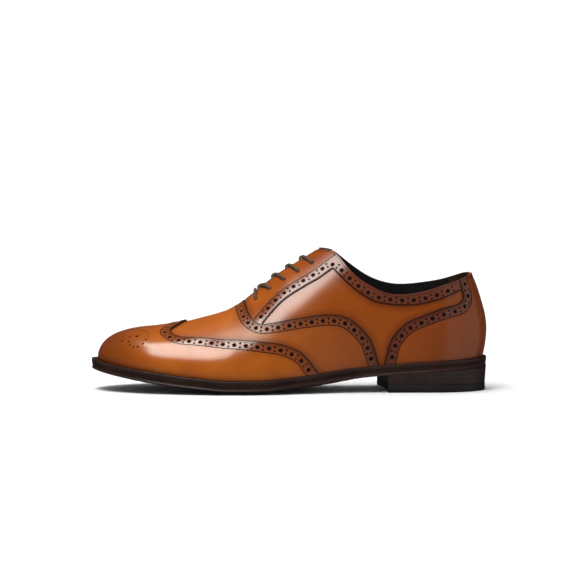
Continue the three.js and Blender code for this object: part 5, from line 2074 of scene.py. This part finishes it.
print("faces bound in black", int(bound.sum()), "and on the heel tab", int(at_heel.sum()))

# %% [markdown]
# ## Studio
# The shoe stands on pale paper that curves up behind it into a plain wall. Polished leather shows
# its lamps as shapes, so two long softboxes overhead are cut to draw the white bands along the
# wing and beside the facing, and a wide card beside the heel draws the dull band on the counter.
# Three more lamps fill the shadows and light the wall, and are kept out of the reflections. A
# picture of a studio round the scene could light it too, but lamps can be placed one by one.

# %% Floor
FLOOR_FRONT, FLOOR_BACK = 3.2, -1.4
BEND = 0.8
WALL_TOP = 3.4


def stage_sheet():
    """A strip of the scene's width that runs flat, bends up in a quarter circle and goes on up."""
    wide = np.linspace(-4, 4, 9)
    flat = np.linspace(FLOOR_FRONT, FLOOR_BACK, 12)
    turn = np.linspace(0, math.pi / 2, 14)[1:]
    wall = FLOOR_BACK - BEND
    y = np.concatenate([flat, FLOOR_BACK - BEND * np.sin(turn), [wall, wall]])
    z = np.concatenate([np.zeros(12), BEND * (1 - np.cos(turn)), [2.0, WALL_TOP]])
    grid = np.stack(np.broadcast_arrays(wide[None], y[:, None], z[:, None]), axis=-1)
    mesh = bpy.data.meshes.new("floor")
    quads = grid_quads(*grid.shape[:2])[:, ::-1]
    mesh.from_pydata(grid.reshape(-1, 3).tolist(), [], quads.tolist())
    mesh.update()
    mesh.shade_smooth()
    return put("floor", mesh)


floor = stage_sheet()
paper = bpy.data.materials.new("paper")
paper.use_nodes = True
paper.node_tree.nodes["Principled BSDF"].inputs["Base Color"].default_value = (0.93, 0.93, 0.93, 1)
paper.node_tree.nodes["Principled BSDF"].inputs["Roughness"].default_value = 0.45
floor.data.materials.append(paper)
floor.visible_glossy = False
floor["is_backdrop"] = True
print("floor", len(floor.data.polygons), "faces")

# %% Light
LAMPS = (  # name, place, what it looks at, size in m, watts, seen in reflections
    ("key_front", (0.375, 0.14, 1.15), (0.375, 0.14, 0), (0.2, 0.56), 4.2, True),
    ("key", (0.36, 0.71, 1.15), (0.36, 0.71, 0), (0.48, 0.74), 12.2, True),
    ("heel_card", (-1.3, 0.65, 0.1), (-0.1, 0, 0.1), (2.2, 1.6), 4, True),
    ("top", (0.2, 0.1, 1.25), (0.1, 0, 0), (1.2, 0.8), 10.5, False),
    ("fill", (0.3, 2.2, 1.0), (0, 0, 0.05), (2.4, 1.4), 7, False),
    ("wall_wash", (0.0, -0.9, 1.9), (0, -2.2, 0.6), (3.0, 0.6), 60, False),
)
for name, place, look_at, size, watts, mirrored in LAMPS:
    data = bpy.data.lights.new(name, "AREA")
    data.shape = "RECTANGLE"
    data.size, data.size_y = size
    data.energy = watts
    lamp = put(name, data)
    lamp.location = place
    way = Vector(look_at) - Vector(place)
    lamp.rotation_euler = way.to_track_quat("-Z", "Y").to_euler()
    lamp.visible_glossy = mirrored
world = bpy.data.worlds.new("studio")
bpy.context.scene.world = world
world.use_nodes = True
world.node_tree.nodes["Background"].inputs["Color"].default_value = (0.045, 0.045, 0.045, 1)
bpy.context.scene.view_settings.view_transform = "Standard"
print("lamps", len(LAMPS))

# %% [markdown]
# ## Last look at the size
# The box that the finished shoe fills is printed, to be set beside the construction model's. The
# finished shoe has to fill the same box as the construction model, no more than a skin thicker.

# %% Close
bpy.context.view_layer.update()
low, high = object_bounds()
print("visual box", [round(v, 4) for v in (*low, *high)])
